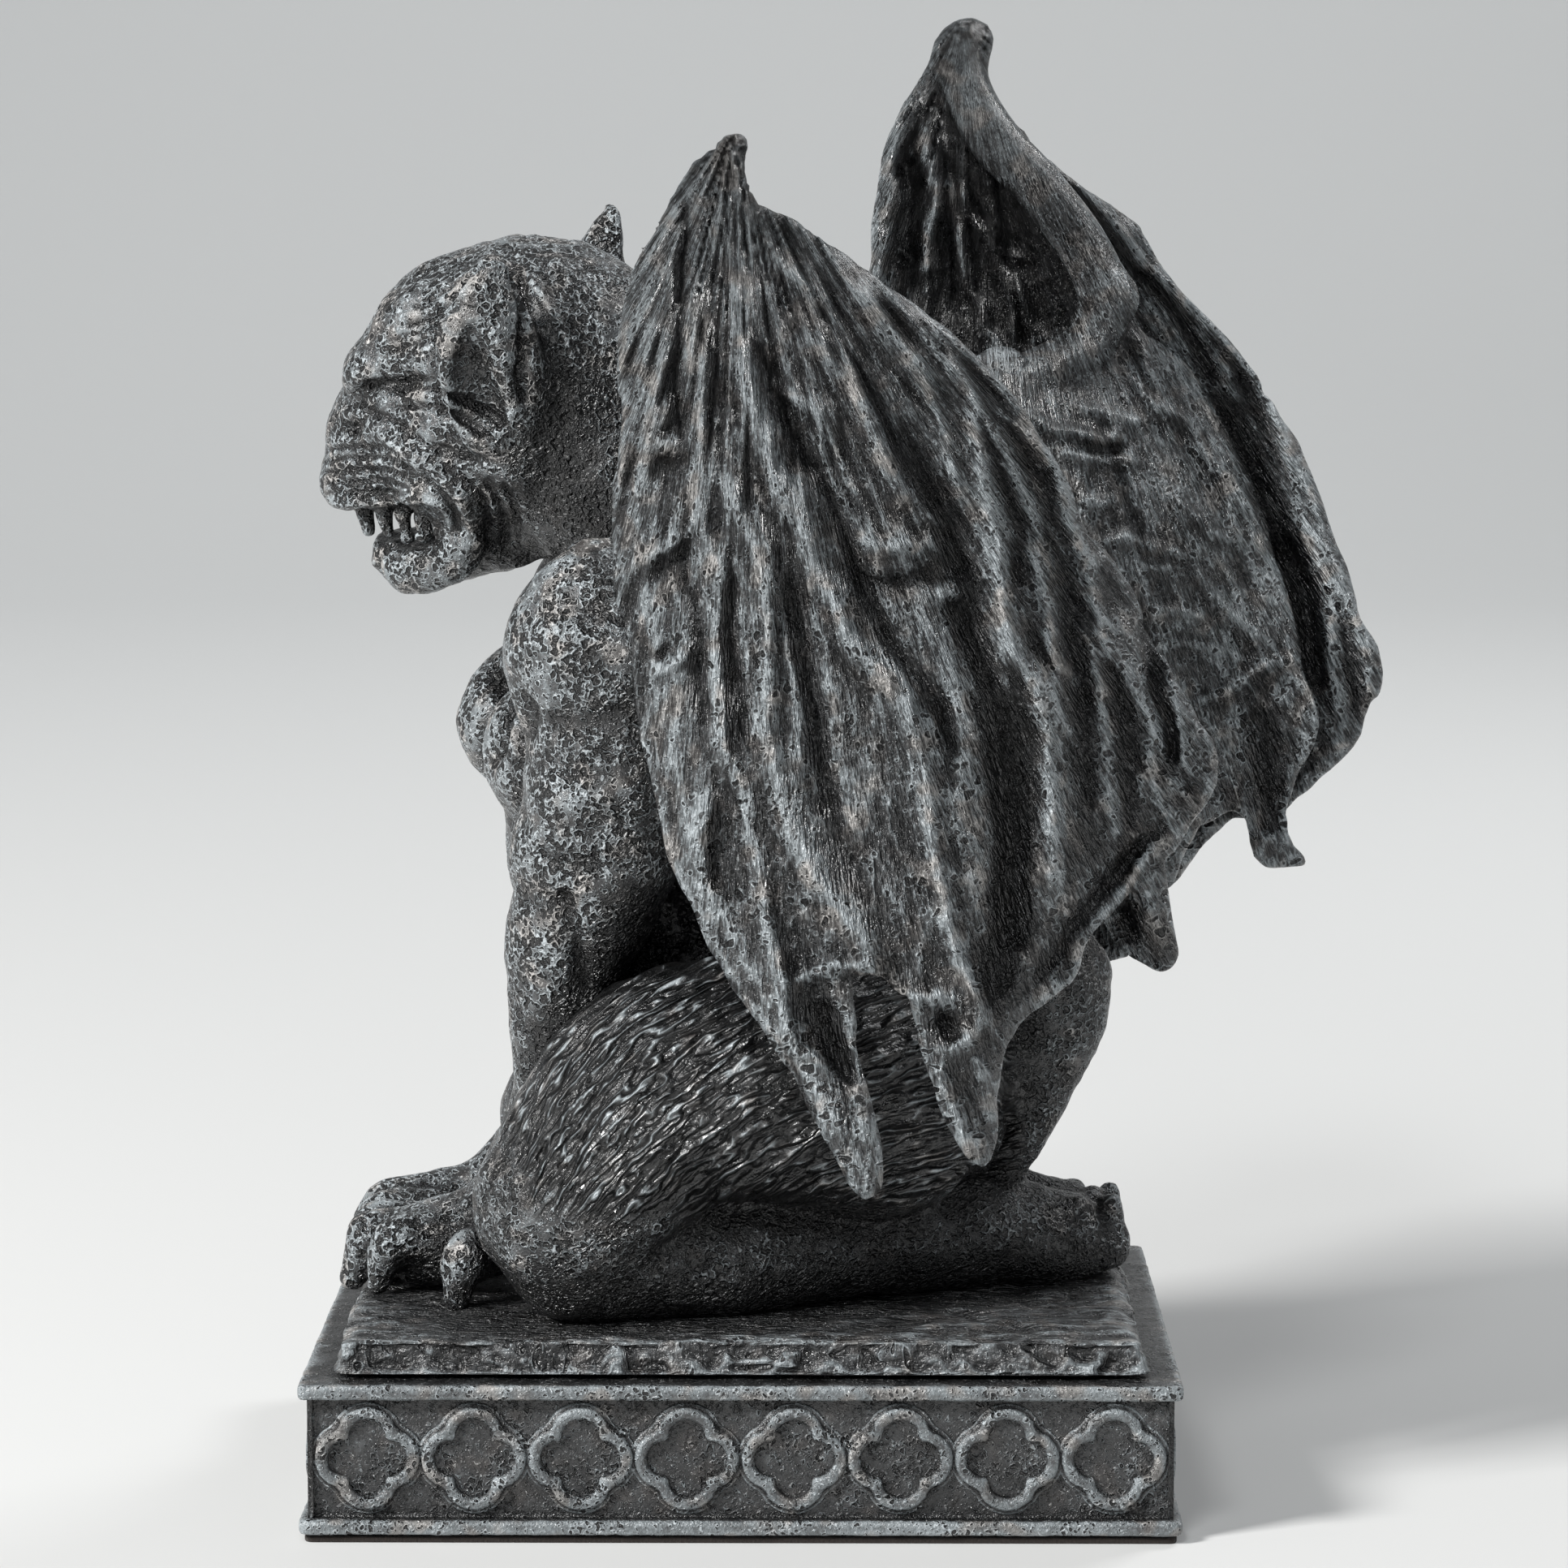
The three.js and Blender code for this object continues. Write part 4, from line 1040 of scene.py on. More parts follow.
        sheet.paint(both, self.washes)
        return block, both


# Head, body and legs.


@dataclass
class Head:
    """The snub head with its open mouth, heavy brow and cupped ears, made facing -X and then tipped."""

    middle: tuple[float, float, float] = (-27.0, 6.0, 127.0)
    turn: tuple[float, float, float] = (9.0, 0.0, -20.0)
    step: float = 0.36
    creases: tuple = (
        # Wrinkles across the upper lip.
        Fold(((398, 556), (430, 551), (465, 553), (500, 562)), -0.55, 3.6, 3.6),
        Fold(((396, 569), (430, 564), (470, 566), (505, 577)), -0.55, 3.6, 3.6),
        Fold(((396, 582), (430, 578), (470, 580), (505, 592)), -0.55, 3.6, 3.6),
        Fold(((398, 595), (430, 593), (470, 593), (500, 602)), -0.5, 3.4, 3.4),
        Fold(((402, 606), (430, 606), (465, 605), (495, 609)), -0.4, 3.0, 3.0),
        Fold(((402, 613), (432, 618), (470, 617), (515, 614), (545, 622), (558, 640), (552, 656)), 0.7, 6, 6),
        Fold(((458, 706), (472, 684), (492, 668), (525, 660), (550, 656)), 0.6, 6, 6),
        # Wrinkles of the brow.
        Fold(((496, 404), (530, 390), (565, 374)), -0.7, 4.5, 4.5),
        Fold(((484, 420), (520, 404), (552, 388)), -0.6, 4, 4),
        Fold(((474, 436), (505, 424), (545, 408)), -0.5, 4, 4),
        Fold(((505, 380), (530, 368), (560, 352)), -0.5, 4, 4),
        Fold(((445, 482), (470, 474), (500, 470), (530, 468)), -1.3, 8, 7),
        Fold(((478, 482), (520, 480), (560, 491), (600, 510), (625, 527)), -0.7, 5, 5),
        Fold(((488, 500), (530, 501), (570, 516), (602, 536)), -0.7, 5, 5),
        Fold(((462, 506), (490, 521), (520, 545), (560, 560), (600, 575)), -0.8, 5.5, 5.5),
        # Rolls of the cheek that run down to the jaw.
        Fold(((462, 512), (474, 540), (500, 562), (530, 578), (558, 602), (578, 632), (584, 664)), 0.7, 8, 8),
        Fold(((500, 585), (535, 602), (560, 630), (566, 665)), -0.6, 5, 5),
        Fold(((560, 585), (592, 612), (602, 645), (604, 672)), -0.7, 5, 5),
        Fold(((592, 590), (612, 620), (622, 650), (622, 678)), -0.6, 5, 5),
        Fold(((620, 596), (634, 630), (638, 668)), -0.5, 5, 5),
        Fold(((428, 532), (441, 521)), -1.5, 8, 8, 0.5),
        Fold(((424, 512), (446, 508), (456, 522), (450, 540)), 0.5, 6, 6),
        # The ear's rims.
        Fold(((535, 396), (545, 372), (570, 352), (600, 326), (620, 316)), 0.5, 6, 6),
        Fold(((650, 340), (668, 368), (690, 402), (702, 432)), 0.9, 8, 8),
        Fold(((640, 330), (648, 380), (646, 430), (642, 470), (650, 510)), -1.2, 8, 8),
    )

    # Painted shade in the neck's recess and in two smaller hollows of the face.
    washes: tuple = (
        Fold(((690, 450), (698, 520), (700, 590), (690, 650)), 0.75, 40, 45),
        Fold(((435, 640), (480, 640), (530, 636)), 0.35, 16, 16),
        Fold(((588, 432), (590, 458)), 0.5, 20, 20),
    )

    def _forms(self) -> tuple[list, list]:
        """Forms to blend and forms to cut, each with the width of its blend."""
        add = [
            (Lump((2.5, 0, 4), (18.5, 14.6, 15.6)), 1.0),
            (Lump((-13.5, 0, 5.4), (7.6, 11, 4.8), (0, -18, 0)), 3.0),
            (Lump((-9, 0, 10), (8, 10.5, 6), (0, -30, 0)), 3.0),
            (Lump((-19.6, 0, -4.2), (3.8, 4.9, 4.2)), 2.5),
            (Limb(((-5, 0, -2), (-14, 0, -4), (-18, 0, -7)), (12, 9.5, 7)), 3.0),
            (Lump((-18.6, 0, -9.8), (6.6, 8.8, 4.2)), 2.5),
            (Limb(((8, 0, -8), (-4, 0, -12.5), (-14.6, 0, -18.4)), (8.8, 8.2, 5.2)), 3.0),
            (Limb(((-12.5, -7.2, -19.2), (-6.5, -8.6, -17.6), (-3.6, -8.8, -14.6)), (3.0, 3.0, 2.6)), 2.0),
            (Limb(((-12.5, 7.2, -19.2), (-6.5, 8.6, -17.6), (-3.6, 8.8, -14.6)), (3.0, 3.0, 2.6)), 2.0),
            (Lump((-3.5, -8, -4), (11, 6.8, 9.2)), 2.5),
            (Lump((-3.5, 8, -4), (11, 6.8, 9.2)), 2.5),
            (Limb(((6, 0, -2), (14, 0, -9), (20, 0, -16)), (13.5, 12.5, 12)), 3.0),
        ]
        cut = [(Lump((-15.6, 0, -14.4), (11.4, 11.6, 2.3), (0, 4, 0)), 1.2)]
        for side in (-1, 1):
            spine = ((5.2, 13 * side, -2), (4.6, 15.6 * side, 4.5), (4.2, 17.0 * side, 11), (6.4, 17.4 * side, 18.6))
            add.append((Limb(spine, (5.4, 6.6, 5.6, 1.5), 0.5, (0.5, side * 0.86, 0.0)), 1.6))
            hollow = ((3.6, 20.2 * side, 2.6), (3.4, 20.6 * side, 6.5), (4.2, 20.6 * side, 11.5))
            cut.append((Limb(hollow, (3.7, 3.2, 1.7)), 0.9))
            cut.append((Lump((-17.4, 4.3 * side, -4.2), (1.7, 1.6, 1.5)), 0.6))
        return add, cut

    def _teeth(self) -> list[Limb]:
        """Short blunt teeth set back along the upper gum."""
        out = []
        for side in (-1, 1):
            for n in range(5):
                x = -18.5 + 2.9 * n
                y = side * (5.2 + 0.9 * n)
                out.append(Limb(((x, y, -12.6), (x + 0.3, y, -15.0)), (1.15, 0.7)))
        return out

    def build(self) -> tuple[Clay, Carving]:
        """Models the head."""
        clay = Clay((-27, -24, -28), (33, 24, 24), self.step)
        add, cut = self._forms()
        for form, blend in add:
            clay.add(form, blend)
        for form, blend in cut:
            clay.cut(form, blend)
        for tooth in self._teeth():
            clay.add(tooth, 0.5)
        head = clay.carve()
        head.relax(1)
        matrix = turned(self.turn)
        clay.matrix = matrix
        clay.middle = np.array(self.middle)
        near = head.points * np.array([1.0, -1.0, 1.0]) ** (head.points[:, 1:2] > 0)
        facing = head.normals() * np.array([1.0, -1.0, 1.0]) ** (head.points[:, 1:2] > 0)
        across, down = VIEW.project(near @ matrix.T + clay.middle)
        side_on = smooth_step(-0.05, 0.45, -(facing @ matrix.T)[:, 1])
        head.push(side_on * folds_at(self.creases, across, down, 2.5))
        head.push(0.28 * layered(head.points, 3.0, 3, 21))
        head.measure()
        head.points = head.points @ matrix.T + clay.middle
        head.paint["grain"] = head.points * np.array([1.0, 1.0, 0.4])
        across, down = VIEW.project(head.points)
        # painted shade in the head's hollows, from the given folds
        head.paint["wash"] = folds_at(self.washes, across, down)
        return clay, head


@dataclass
class Body:
    """Neck, chest and belly with the two arms set between the knees."""

    middle: float = 3.0
    step: float = 0.52
    creases: tuple = (
        Fold(((606, 815), (618, 850), (620, 890), (612, 925), (598, 955)), -2.4, 15, 13, 0.2),
        Fold(((640, 850), (650, 890), (646, 930)), -1.0, 9, 9, 0.3),
        Fold(((622, 870), (630, 905), (622, 945)), 0.8, 7, 7, 0.3),
        Fold(((690, 1085), (700, 1130), (716, 1180), (722, 1230)), -0.9, 10, 12, 0.2),
        Fold(((660, 880), (700, 892), (750, 885), (790, 870)), -0.8, 16, 16, 0.2),
        Fold(((655, 1050), (700, 1060), (750, 1062)), -0.9, 18, 18, 0.2),
        Fold(((655, 985), (700, 990), (760, 975)), 0.6, 26, 26, 0.2),
        Fold(((655, 760), (690, 790), (740, 800), (790, 790)), 0.5, 24, 24, 0.2),
        Fold(((720, 450), (735, 520), (745, 600)), -1.0, 16, 16, 0.2),
    )

    # Painted shade in the neck's recess and in the deep hollow between arm, belly and wing.
    washes: tuple = (
        Fold(((700, 440), (710, 540), (705, 650)), 0.8, 50, 55),
        Fold(((800, 1080), (790, 1150), (775, 1220), (740, 1280)), 1.0, 50, 46),
    )

    def _arm(self, side: int) -> list[Lump | Limb]:
        """One arm down to its paw."""

        def at(x: float, out: float, z: float) -> tuple[float, float, float]:
            """A place beside the body's middle."""
            return (x, self.middle + side * out, z)

        bones = (
            at(-15.5, 20.5, 99), at(-15.8, 20, 87), at(-16.8, 18, 75), at(-20.5, 16, 63),
            at(-21.2, 13.5, 48), at(-24, 11.8, 36.5), at(-31, 10.5, 29.5), at(-38, 9, 27.5),
        )
        forms: list[Lump | Limb] = [
            Lump(at(-16, 20.6, 100), (11, 10.5, 12.5), (0, 10, 0)),
            Limb(bones, (10.2, 9.2, 9.4, 7.3, 5.6, 5.9, 5.6, 4.8)),
            Lump(at(-17.0, 18.6, 76.5), (9.6, 8.6, 7.2), (0, -12, 0)),
        ]
        fingers = (((-38, 4.5), (-46.3, 2.5)), ((-39, 8.5), (-46.3, 7.8)), ((-37, 12.5), (-42.8, 13)), ((-30, 15.5), (-33, 20)))
        for root, tip in fingers:
            dx, dy = tip[0] - root[0], tip[1] - root[1]
            knuckle = at(root[0] + 0.72 * dx, root[1] + 0.72 * dy, 28.6)
            end = at(tip[0] - 0.4, tip[1], 23.6)
            forms.append(Limb((at(root[0], root[1], 28.8), knuckle, end), (2.9, 2.9, 1.5)))
        return forms

    def build(self) -> tuple[Clay, Carving]:
        """Models the body."""
        clay = Clay((-50.6, -31, 21.6), (33, 37, 135), self.step)
        spine = ((17, 4, 45), (12, 4, 60), (1, 5, 78), (-6, 6, 94), (-7, 5, 110), (-12, 6, 128))
        clay.add(Limb(spine, (16.3, 17.3, 17.8, 18.8, 16.3, 14.0)), 1.0)
        clay.add(Lump((0, 5, 103), (17, 18.6, 13), (0, 25, 0)), 4.0)
        clay.add(Lump((-22, 15, 89), (13.2, 9.8, 10.3), (0, -14, 0)), 3.0)
        clay.add(Lump((-19, -1, 87), (12, 10, 9.5), (0, -10, 0)), 3.0)
        clay.add(Limb(((-15, 6, 84), (-12, 5, 66), (-4, 4, 52)), (14.3, 14.8, 14.8)), 4.0)
        for side in (-1, 1):
            for n, form in enumerate(self._arm(side)):
                clay.add(form, 2.0 if n < 3 else 0.9)
        body = clay.carve()
        body.relax(2)
        across, down = VIEW.project(body.points)
        facing = smooth_step(0.0, 0.5, -body.normals()[:, 1])
        body.push(facing * folds_at(self.creases, across, down, 4.0))
        body.push(0.45 * layered(body.points, 5.5, 3, 5))
        body.points[:, 2] = np.maximum(body.points[:, 2], 22.0)
        body.measure()
        body.paint["grain"] = body.points * np.array([1.0, 1.0, 0.4])
        across, down = VIEW.project(body.points)
        # painted shade in the body's hollows, fading out towards the front
        body.paint["wash"] = folds_at(self.washes, across, down) * smooth_step(-30, -22, body.points[:, 0])
        return clay, body


@dataclass
class Legs:
    """The two folded legs under a combed pelt, the clawed feet and the tail."""

    middle: float = 4.0
    step: float = 0.46
    combing: tuple = (
        (640, 1330, 48), (700, 1270, 40), (780, 1225, 30), (870, 1210, 30), (950, 1230, 40), (640, 1400, 58),
        (700, 1380, 60), (760, 1330, 60), (830, 1290, 62), (900, 1260, 62), (760, 1430, 58), (820, 1380, 55),
        (880, 1330, 55), (950, 1300, 40), (980, 1350, 26), (920, 1390, 26), (850, 1440, 30), (900, 1450, 12),
        (980, 1440, 8), (1050, 1420, 10), (1070, 1330, 8), (1080, 1250, 34), (1150, 1400, 12), (1250, 1380, 30),
    )

    def _leg(self, side: int) -> list[tuple[Lump | Limb, float]]:
        """One leg with the width of each form's blend."""

        def at(x: float, out: float, z: float) -> tuple[float, float, float]:
            """A place beside the leg's middle."""
            return (x, self.middle + side * out, z)

        haunch = (at(14, 14, 48), at(2, 22, 50), at(-10, 25, 48), at(-19, 25, 36))
        shank = (at(-19, 25, 30), at(-4, 22, 29.5), at(11, 15, 29), at(25, 7.5, 29), at(38, 3, 27))
        forms: list[tuple[Lump | Limb, float]] = [
            (Limb(haunch, (16.3, 14.4, 13.6, 12.0)), 2.0),
            (Limb(shank, (8.2, 7.9, 6.6, 7, 5.6)), 1.4),
        ]
        for toe in range(3):
            out = -3 + 4.2 * toe
            end = 42.5 - 2 * toe
            bones = (at(34, out, 27.3), at(end, out, 26), at(end + 1.4, out, 31.2))
            forms.append((Limb(bones, (3.3, 3.1, 1.3)), 1.0))
        return forms

    def _combed(self, points: Array) -> Array:
        """Where each point lies across and along the hair, from directions read off the picture."""
        marks = np.array(self.combing, dtype=float)
        where = VIEW.place_at(marks[:, 0], marks[:, 1], np.full(len(marks), -22.0))[:, [0, 2]]
        lean = np.radians(marks[:, 2])
        run = np.stack([-np.cos(lean), -np.sin(lean)], 1)
        off = np.stack([run[:, 1], -run[:, 0]], 1)
        centre, size = where.mean(0), 25.0

        def slopes(places: Array) -> tuple[Array, Array, Array]:
            """Terms of a smooth surface over the side view, and their slopes."""
            x, z = ((places - centre) / size).T
            powers = [(i, j) for i in range(4) for j in range(4) if 0 < i + j < 4]
            terms = np.stack([x**i * z**j for i, j in powers], 1)
            by_x = np.stack([i * x ** max(i - 1, 0) * z**j for i, j in powers], 1) / size
            by_z = np.stack([j * x**i * z ** max(j - 1, 0) for i, j in powers], 1) / size
            return terms, by_x, by_z

        _, by_x, by_z = slopes(where)
        system = np.vstack([by_x, by_z, 0.01 * np.eye(by_x.shape[1]) / size])
        rest = np.zeros(by_x.shape[1])
        wanted_across = np.concatenate([off[:, 0], off[:, 1], rest])
        wanted_along = np.concatenate([run[:, 0], run[:, 1], rest])
        terms = slopes(np.clip(points[:, [0, 2]], (-34, 20), (50, 70)))[0]
        across = terms @ np.linalg.lstsq(system, wanted_across, rcond=None)[0]
        along = terms @ np.linalg.lstsq(system, wanted_along, rcond=None)[0]
        inwards = self.middle - np.abs(points[:, 1] - self.middle)
        return np.stack([across + 0.3 * inwards, along, 0.0 * along], 1)

    def build(self) -> tuple[Clay, Carving]:
        """Models the legs and the tail."""
        clay = Clay((-34, -37.4, 21.6), (49, 46, 76), self.step)
        for side in (-1, 1):
            for form, blend in self._leg(side):
                clay.add(form, blend)
        clay.add(Limb(((4, 4, 50), (14, 4, 50), (24, 4, 50)), (15, 18, 12)), 4.0)
        clay.add(Limb(((26, 5, 64), (36, 4, 57.5), (34.5, 2, 47), (31, 0, 38)), (8, 7.8, 5.4, 3.4)), 2.5)
        clay.add(Lump((13, -12, 32.2), (1.6, 1.4, 2.4)), 0.3)
        legs = clay.carve()
        legs.relax(1)
        grain = self._combed(legs.points)
        above = smooth_step(34.5, 38.5, legs.points[:, 2] + 1.2 * noise(legs.points, 5.0, 3))
        knee = smooth_step(-27.5, -20.0, legs.points[:, 0] + 0.25 * (legs.points[:, 2] - 40) + 1.5 * noise(legs.points, 4.0, 6))
        pelt = above * (1 - (1 - knee) * smooth_step(50, 40, legs.points[:, 2]))
        across, down = VIEW.project(legs.points)
        pelt *= smooth_step(1262.0, 1228.0, across + 0.12 * (1300.0 - down))
        wave = np.abs(noise(grain, (1.05, 9.0, 1.0), 40)) + 0.5 * np.abs(noise(grain, (0.7, 6.0, 1.0), 41))
        legs.push(-0.35 * pelt * (1.0 - 1.6 * wave))
        legs.push(0.4 * layered(legs.points, 5.0, 3, 15) * (1 - 0.5 * pelt))
        legs.points[:, 2] = np.maximum(legs.points[:, 2], 22.0)
        legs.measure()
        legs.paint["grain"] = grain
        legs.paint["pelt"] = pelt
        # painted shade: darker towards the bottom of the legs, where they sit on the slab
        legs.paint["wash"] = 0.7 * smooth_step(29.0, 24.5, legs.points[:, 2])
        return clay, legs


# Base.


@dataclass(frozen=True)
class Plan:
    """A rounded rectangle walked in even steps, with the outward direction at each step."""

    length: float
    depth: float
    round: float = 1.0
    step: float = 0.5

    def walk(self) -> tuple[Array, Array]:
        """Points round the plan and their outward directions, both in the plane."""
        points, ways = [], []
        a, b = self.length / 2 - self.round, self.depth / 2 - self.round
        runs = (((a, -b), (a, b), 0), ((a, b), (-a, b), 90), ((-a, b), (-a, -b), 180), ((-a, -b), (a, -b), 270))
        for start, end, angle in runs:
            way = np.array([math.cos(math.radians(angle)), math.sin(math.radians(angle))])
            count = max(int(round(math.dist(start, end) / self.step)), 2)
            for t in np.linspace(0, 1, count, endpoint=True):
                points.append(np.array(start) + t * (np.array(end) - np.array(start)) + self.round * way)
                ways.append(way)
            for turn in (22.5, 45.0, 67.5):
                bent = np.array([math.cos(math.radians(angle + turn)), math.sin(math.radians(angle + turn))])
                points.append(np.array(end) + self.round * bent)
                ways.append(bent)
        return np.array(points), np.array(ways)


def lofted(plan: Plan, rows: list[tuple[float, float]], lid: tuple[float, ...], sole: tuple[float, ...]) -> Carving:
    """A closed block whose sides follow a profile round a plan.

    Args:
        plan: The rectangle to walk.
        rows: Inset and height of each row, from the bottom up.
        lid: Scales of the rings that close the top, from the edge inwards.
        sole: Scales of the rings that close the bottom, from the edge inwards.

    Returns:
        The block in millimetres.
    """
    spots, ways = plan.walk()
    count = len(spots)
    rings = [(spots - ways * inset, height) for inset, height in rows]
    below = [(rings[0][0] * scale, rings[0][1]) for scale in reversed(sole)]
    over = [(rings[-1][0] * scale, rings[-1][1]) for scale in lid]
    rings = below + rings + over
    points = np.vstack([np.column_stack([ring, np.full(count, height)]) for ring, height in rings])
    n = np.arange(count)
    following = (n + 1) % count
    quads = [
        np.stack([n + r * count, following + r * count, following + (r + 1) * count, n + (r + 1) * count], 1)
        for r in range(len(rings) - 1)
    ]
    half = np.arange(count // 2 - 1)
    top = (len(rings) - 1) * count
    strip = np.stack([half, half + 1, count - 2 - half, count - 1 - half], 1)
    quads.append(strip + top)
    quads.append(strip[:, ::-1])
    return Carving(points, np.vstack(quads))


@dataclass
class RockSlab:
    """The rough slab under the figure, its edge broken into shallow chips."""

    length: float = 94.4
    depth: float = 70.4
    bottom: float = 18.5
    top: float = 22.6

    def build(self) -> Carving:
        """Models the slab."""
        heights = np.linspace(0.0, 1.0, 13)
        rows = [(0.25 + 1.1 * h**2.2, self.bottom + (self.top - self.bottom) * h) for h in heights]
        lid = tuple(np.linspace(0.995, 0.12, 64))
        slab = lofted(Plan(self.length, self.depth, 2.4, 0.42), rows, lid, (0.9, 0.4, 0.12))
        away = np.array([2.6, 2.6, 1.9])
        gap, label = chips(slab.points + 0.8 * np.stack([noise(slab.points, 3.0, n) for n in range(3)], 1), away * 1.5, 2)
        small, mark = chips(slab.points, (1.7, 1.7, 1.1), 5)
        high = smooth_step(self.bottom, self.bottom + 0.8, slab.points[:, 2])
        outer = np.maximum(np.abs(slab.points[:, 0]) / (self.length / 2), np.abs(slab.points[:, 1]) / (self.depth / 2))
        rim = smooth_step(0.93, 0.985, outer)
        slab.push(high * (rim * (-1.15 * (0.5 + 0.5 * label) - 0.5 * gap - 0.25 * (0.5 + 0.5 * mark)) - 0.2 * small))
        stretched = layered(slab.points + 1.5 * noise(slab.points, 5.0, 4)[:, None], (6.0, 2.2, 2.0), 4, 9)
        slab.push(high * (1 - rim) * 0.42 * stretched)
        half = np.array([self.length / 2, self.depth / 2, self.top + 0.35])
        slab.points = np.clip(slab.points, -half, half)
        slab.relax(2)
        slab.measure(3, 0.05, 14, 0.35)
        slab.paint["grain"] = slab.points[:, [1, 0, 2]] * np.array([1.0, 1.0, 0.2])
        return slab


@dataclass
class Quatrefoil:
    """One raised quatrefoil ring with a thin step outside it."""

    lobe: float = 3.5
    reach: float = 2.4
    band: float = 1.4
    relief: float = 0.9
    step_out: float = 0.55

    def _outline(self, grow: float, count: int = 12) -> tuple[Array, Array]:
        """Points of the four lobes and their outward directions."""
        radius = self.lobe + grow
        open_by = math.asin(min(self.reach / (radius * math.sqrt(2)), 1.0)) + math.pi / 4
        spots, ways = [], []
        for leaf in range(4):
            facing = leaf * math.pi / 2
            for n in range(count):
                angle = facing - open_by + 2 * open_by * (n + 0.5) / count
                way = np.array([math.cos(angle), math.sin(angle)])
                spots.append(radius * way + self.reach * np.array([math.cos(facing), math.sin(facing)]))
                ways.append(way)
        return np.array(spots), np.array(ways)

    def build(self) -> Carving:
        """Models one ring lying in the XZ plane and standing out towards -Y."""
        profile = (
            (self.step_out, -0.4), (self.step_out, 0.12), (self.step_out - 0.12, 0.26), (0.18, 0.30), (0.04, 0.40),
            (-0.02, 0.62), (-0.25, 0.88), (-0.62, self.relief), (-1.0, 0.84), (-1.3, 0.58), (-self.band, 0.2),
            (-self.band, -0.4),
        )
        rings = []
        for grow, out in profile:
            spots, _ = self._outline(grow)
            rings.append(np.column_stack([spots[:, 0], np.full(len(spots), -out), spots[:, 1]]))
        count = len(rings[0])
        n = np.arange(count)
        following = (n + 1) % count
        quads = []
        for r in range(len(rings)):
            s = (r + 1) % len(rings)
            quads.append(np.stack([n + r * count, following + r * count, following + s * count, n + s * count], 1))
        return Carving(np.vstack(rings), np.vstack(quads))


@dataclass
class Plinth:
    """The plinth with its two mouldings and a row of quatrefoils on every side."""

    length: float = 100.0
    depth: float = 76.0
    bottom: float = 1.0
    top: float = 18.2
    moulding: float = 1.7
    reach: float = 1.65
    pitch: float = 12.06
    long_count: int = 8
    short_count: int = 6

    def build(self) -> Carving:
        """Models the plinth."""
        low, high, m, r = self.bottom, self.top, self.moulding, self.reach
        rows = [(0.35, low), (0.1, low + 0.15), (0.0, low + 0.4), (0.0, low + 1.0), (0.05, low + 1.35), (0.3, low + 1.62)]
        rows += [(0.9, low + m), (r - 0.15, low + m + 0.02), (r, low + m + 0.2)]
        rows += [(r, z) for z in np.linspace(low + m + 0.55, high - m - 0.55, 26)]
        rows += [(r, high - m - 0.2), (r - 0.15, high - m - 0.02), (0.9, high - m), (0.3, high - 1.62)]
        rows += [(0.05, high - 1.35), (0.0, high - 1.0), (0.0, high - 0.4), (0.1, high - 0.15), (0.4, high)]
        block = lofted(Plan(self.length, self.depth, 1.0, 0.5), rows, (0.985, 0.95, 0.5, 0.1), (0.9, 0.4, 0.1))
        block.push(0.07 * layered(block.points, 1.6, 3, 61))
        block.measure(3, 0.05, 16, 0.3)
        ring = Quatrefoil().build()
        middle = (low + high) / 2
        sides = (
            (0, self.long_count, self.depth / 2 - r), (90, self.short_count, self.length / 2 - r),
            (180, self.long_count, self.depth / 2 - r), (270, self.short_count, self.length / 2 - r),
        )
        points, quads = [], []
        for turn, count, out in sides:
            matrix = turned((0, 0, turn))
            for n in range(count):
                moved = ring.points + np.array([(n - (count - 1) / 2) * self.pitch, -out, middle])
                quads.append(ring.quads + len(points) * len(ring.points))
                points.append(moved @ matrix.T)
        rings = Carving(np.vstack(points), np.vstack(quads))
        rings.push(0.06 * layered(rings.points, 1.4, 3, 71))
        rings.measure(3, 0.05, 10, 0.25)
        both = block.joined_to(rings)
        both.points[:, :2] = np.clip(both.points[:, :2], (-self.length / 2, -self.depth / 2), (self.length / 2, self.depth / 2))
        both.paint["grain"] = both.points[:, [2, 0, 1]].copy()
        return both


@dataclass
class FeltPad:
    """The felt glued under the plinth."""

    length: float = 98.8
    depth: float = 74.8
    thick: float = 0.7

    def build(self) -> Carving:
        """Models the pad."""
        rows = [(0.1, 0.0), (0.0, 0.15), (0.0, 0.55), (0.1, self.thick)]
        pad = lofted(Plan(self.length, self.depth, 1.0, 0.8), rows, (0.9, 0.4, 0.1), (0.9, 0.4, 0.1))
        pad.measure(2, 0.05, 6, 0.3)
        return pad
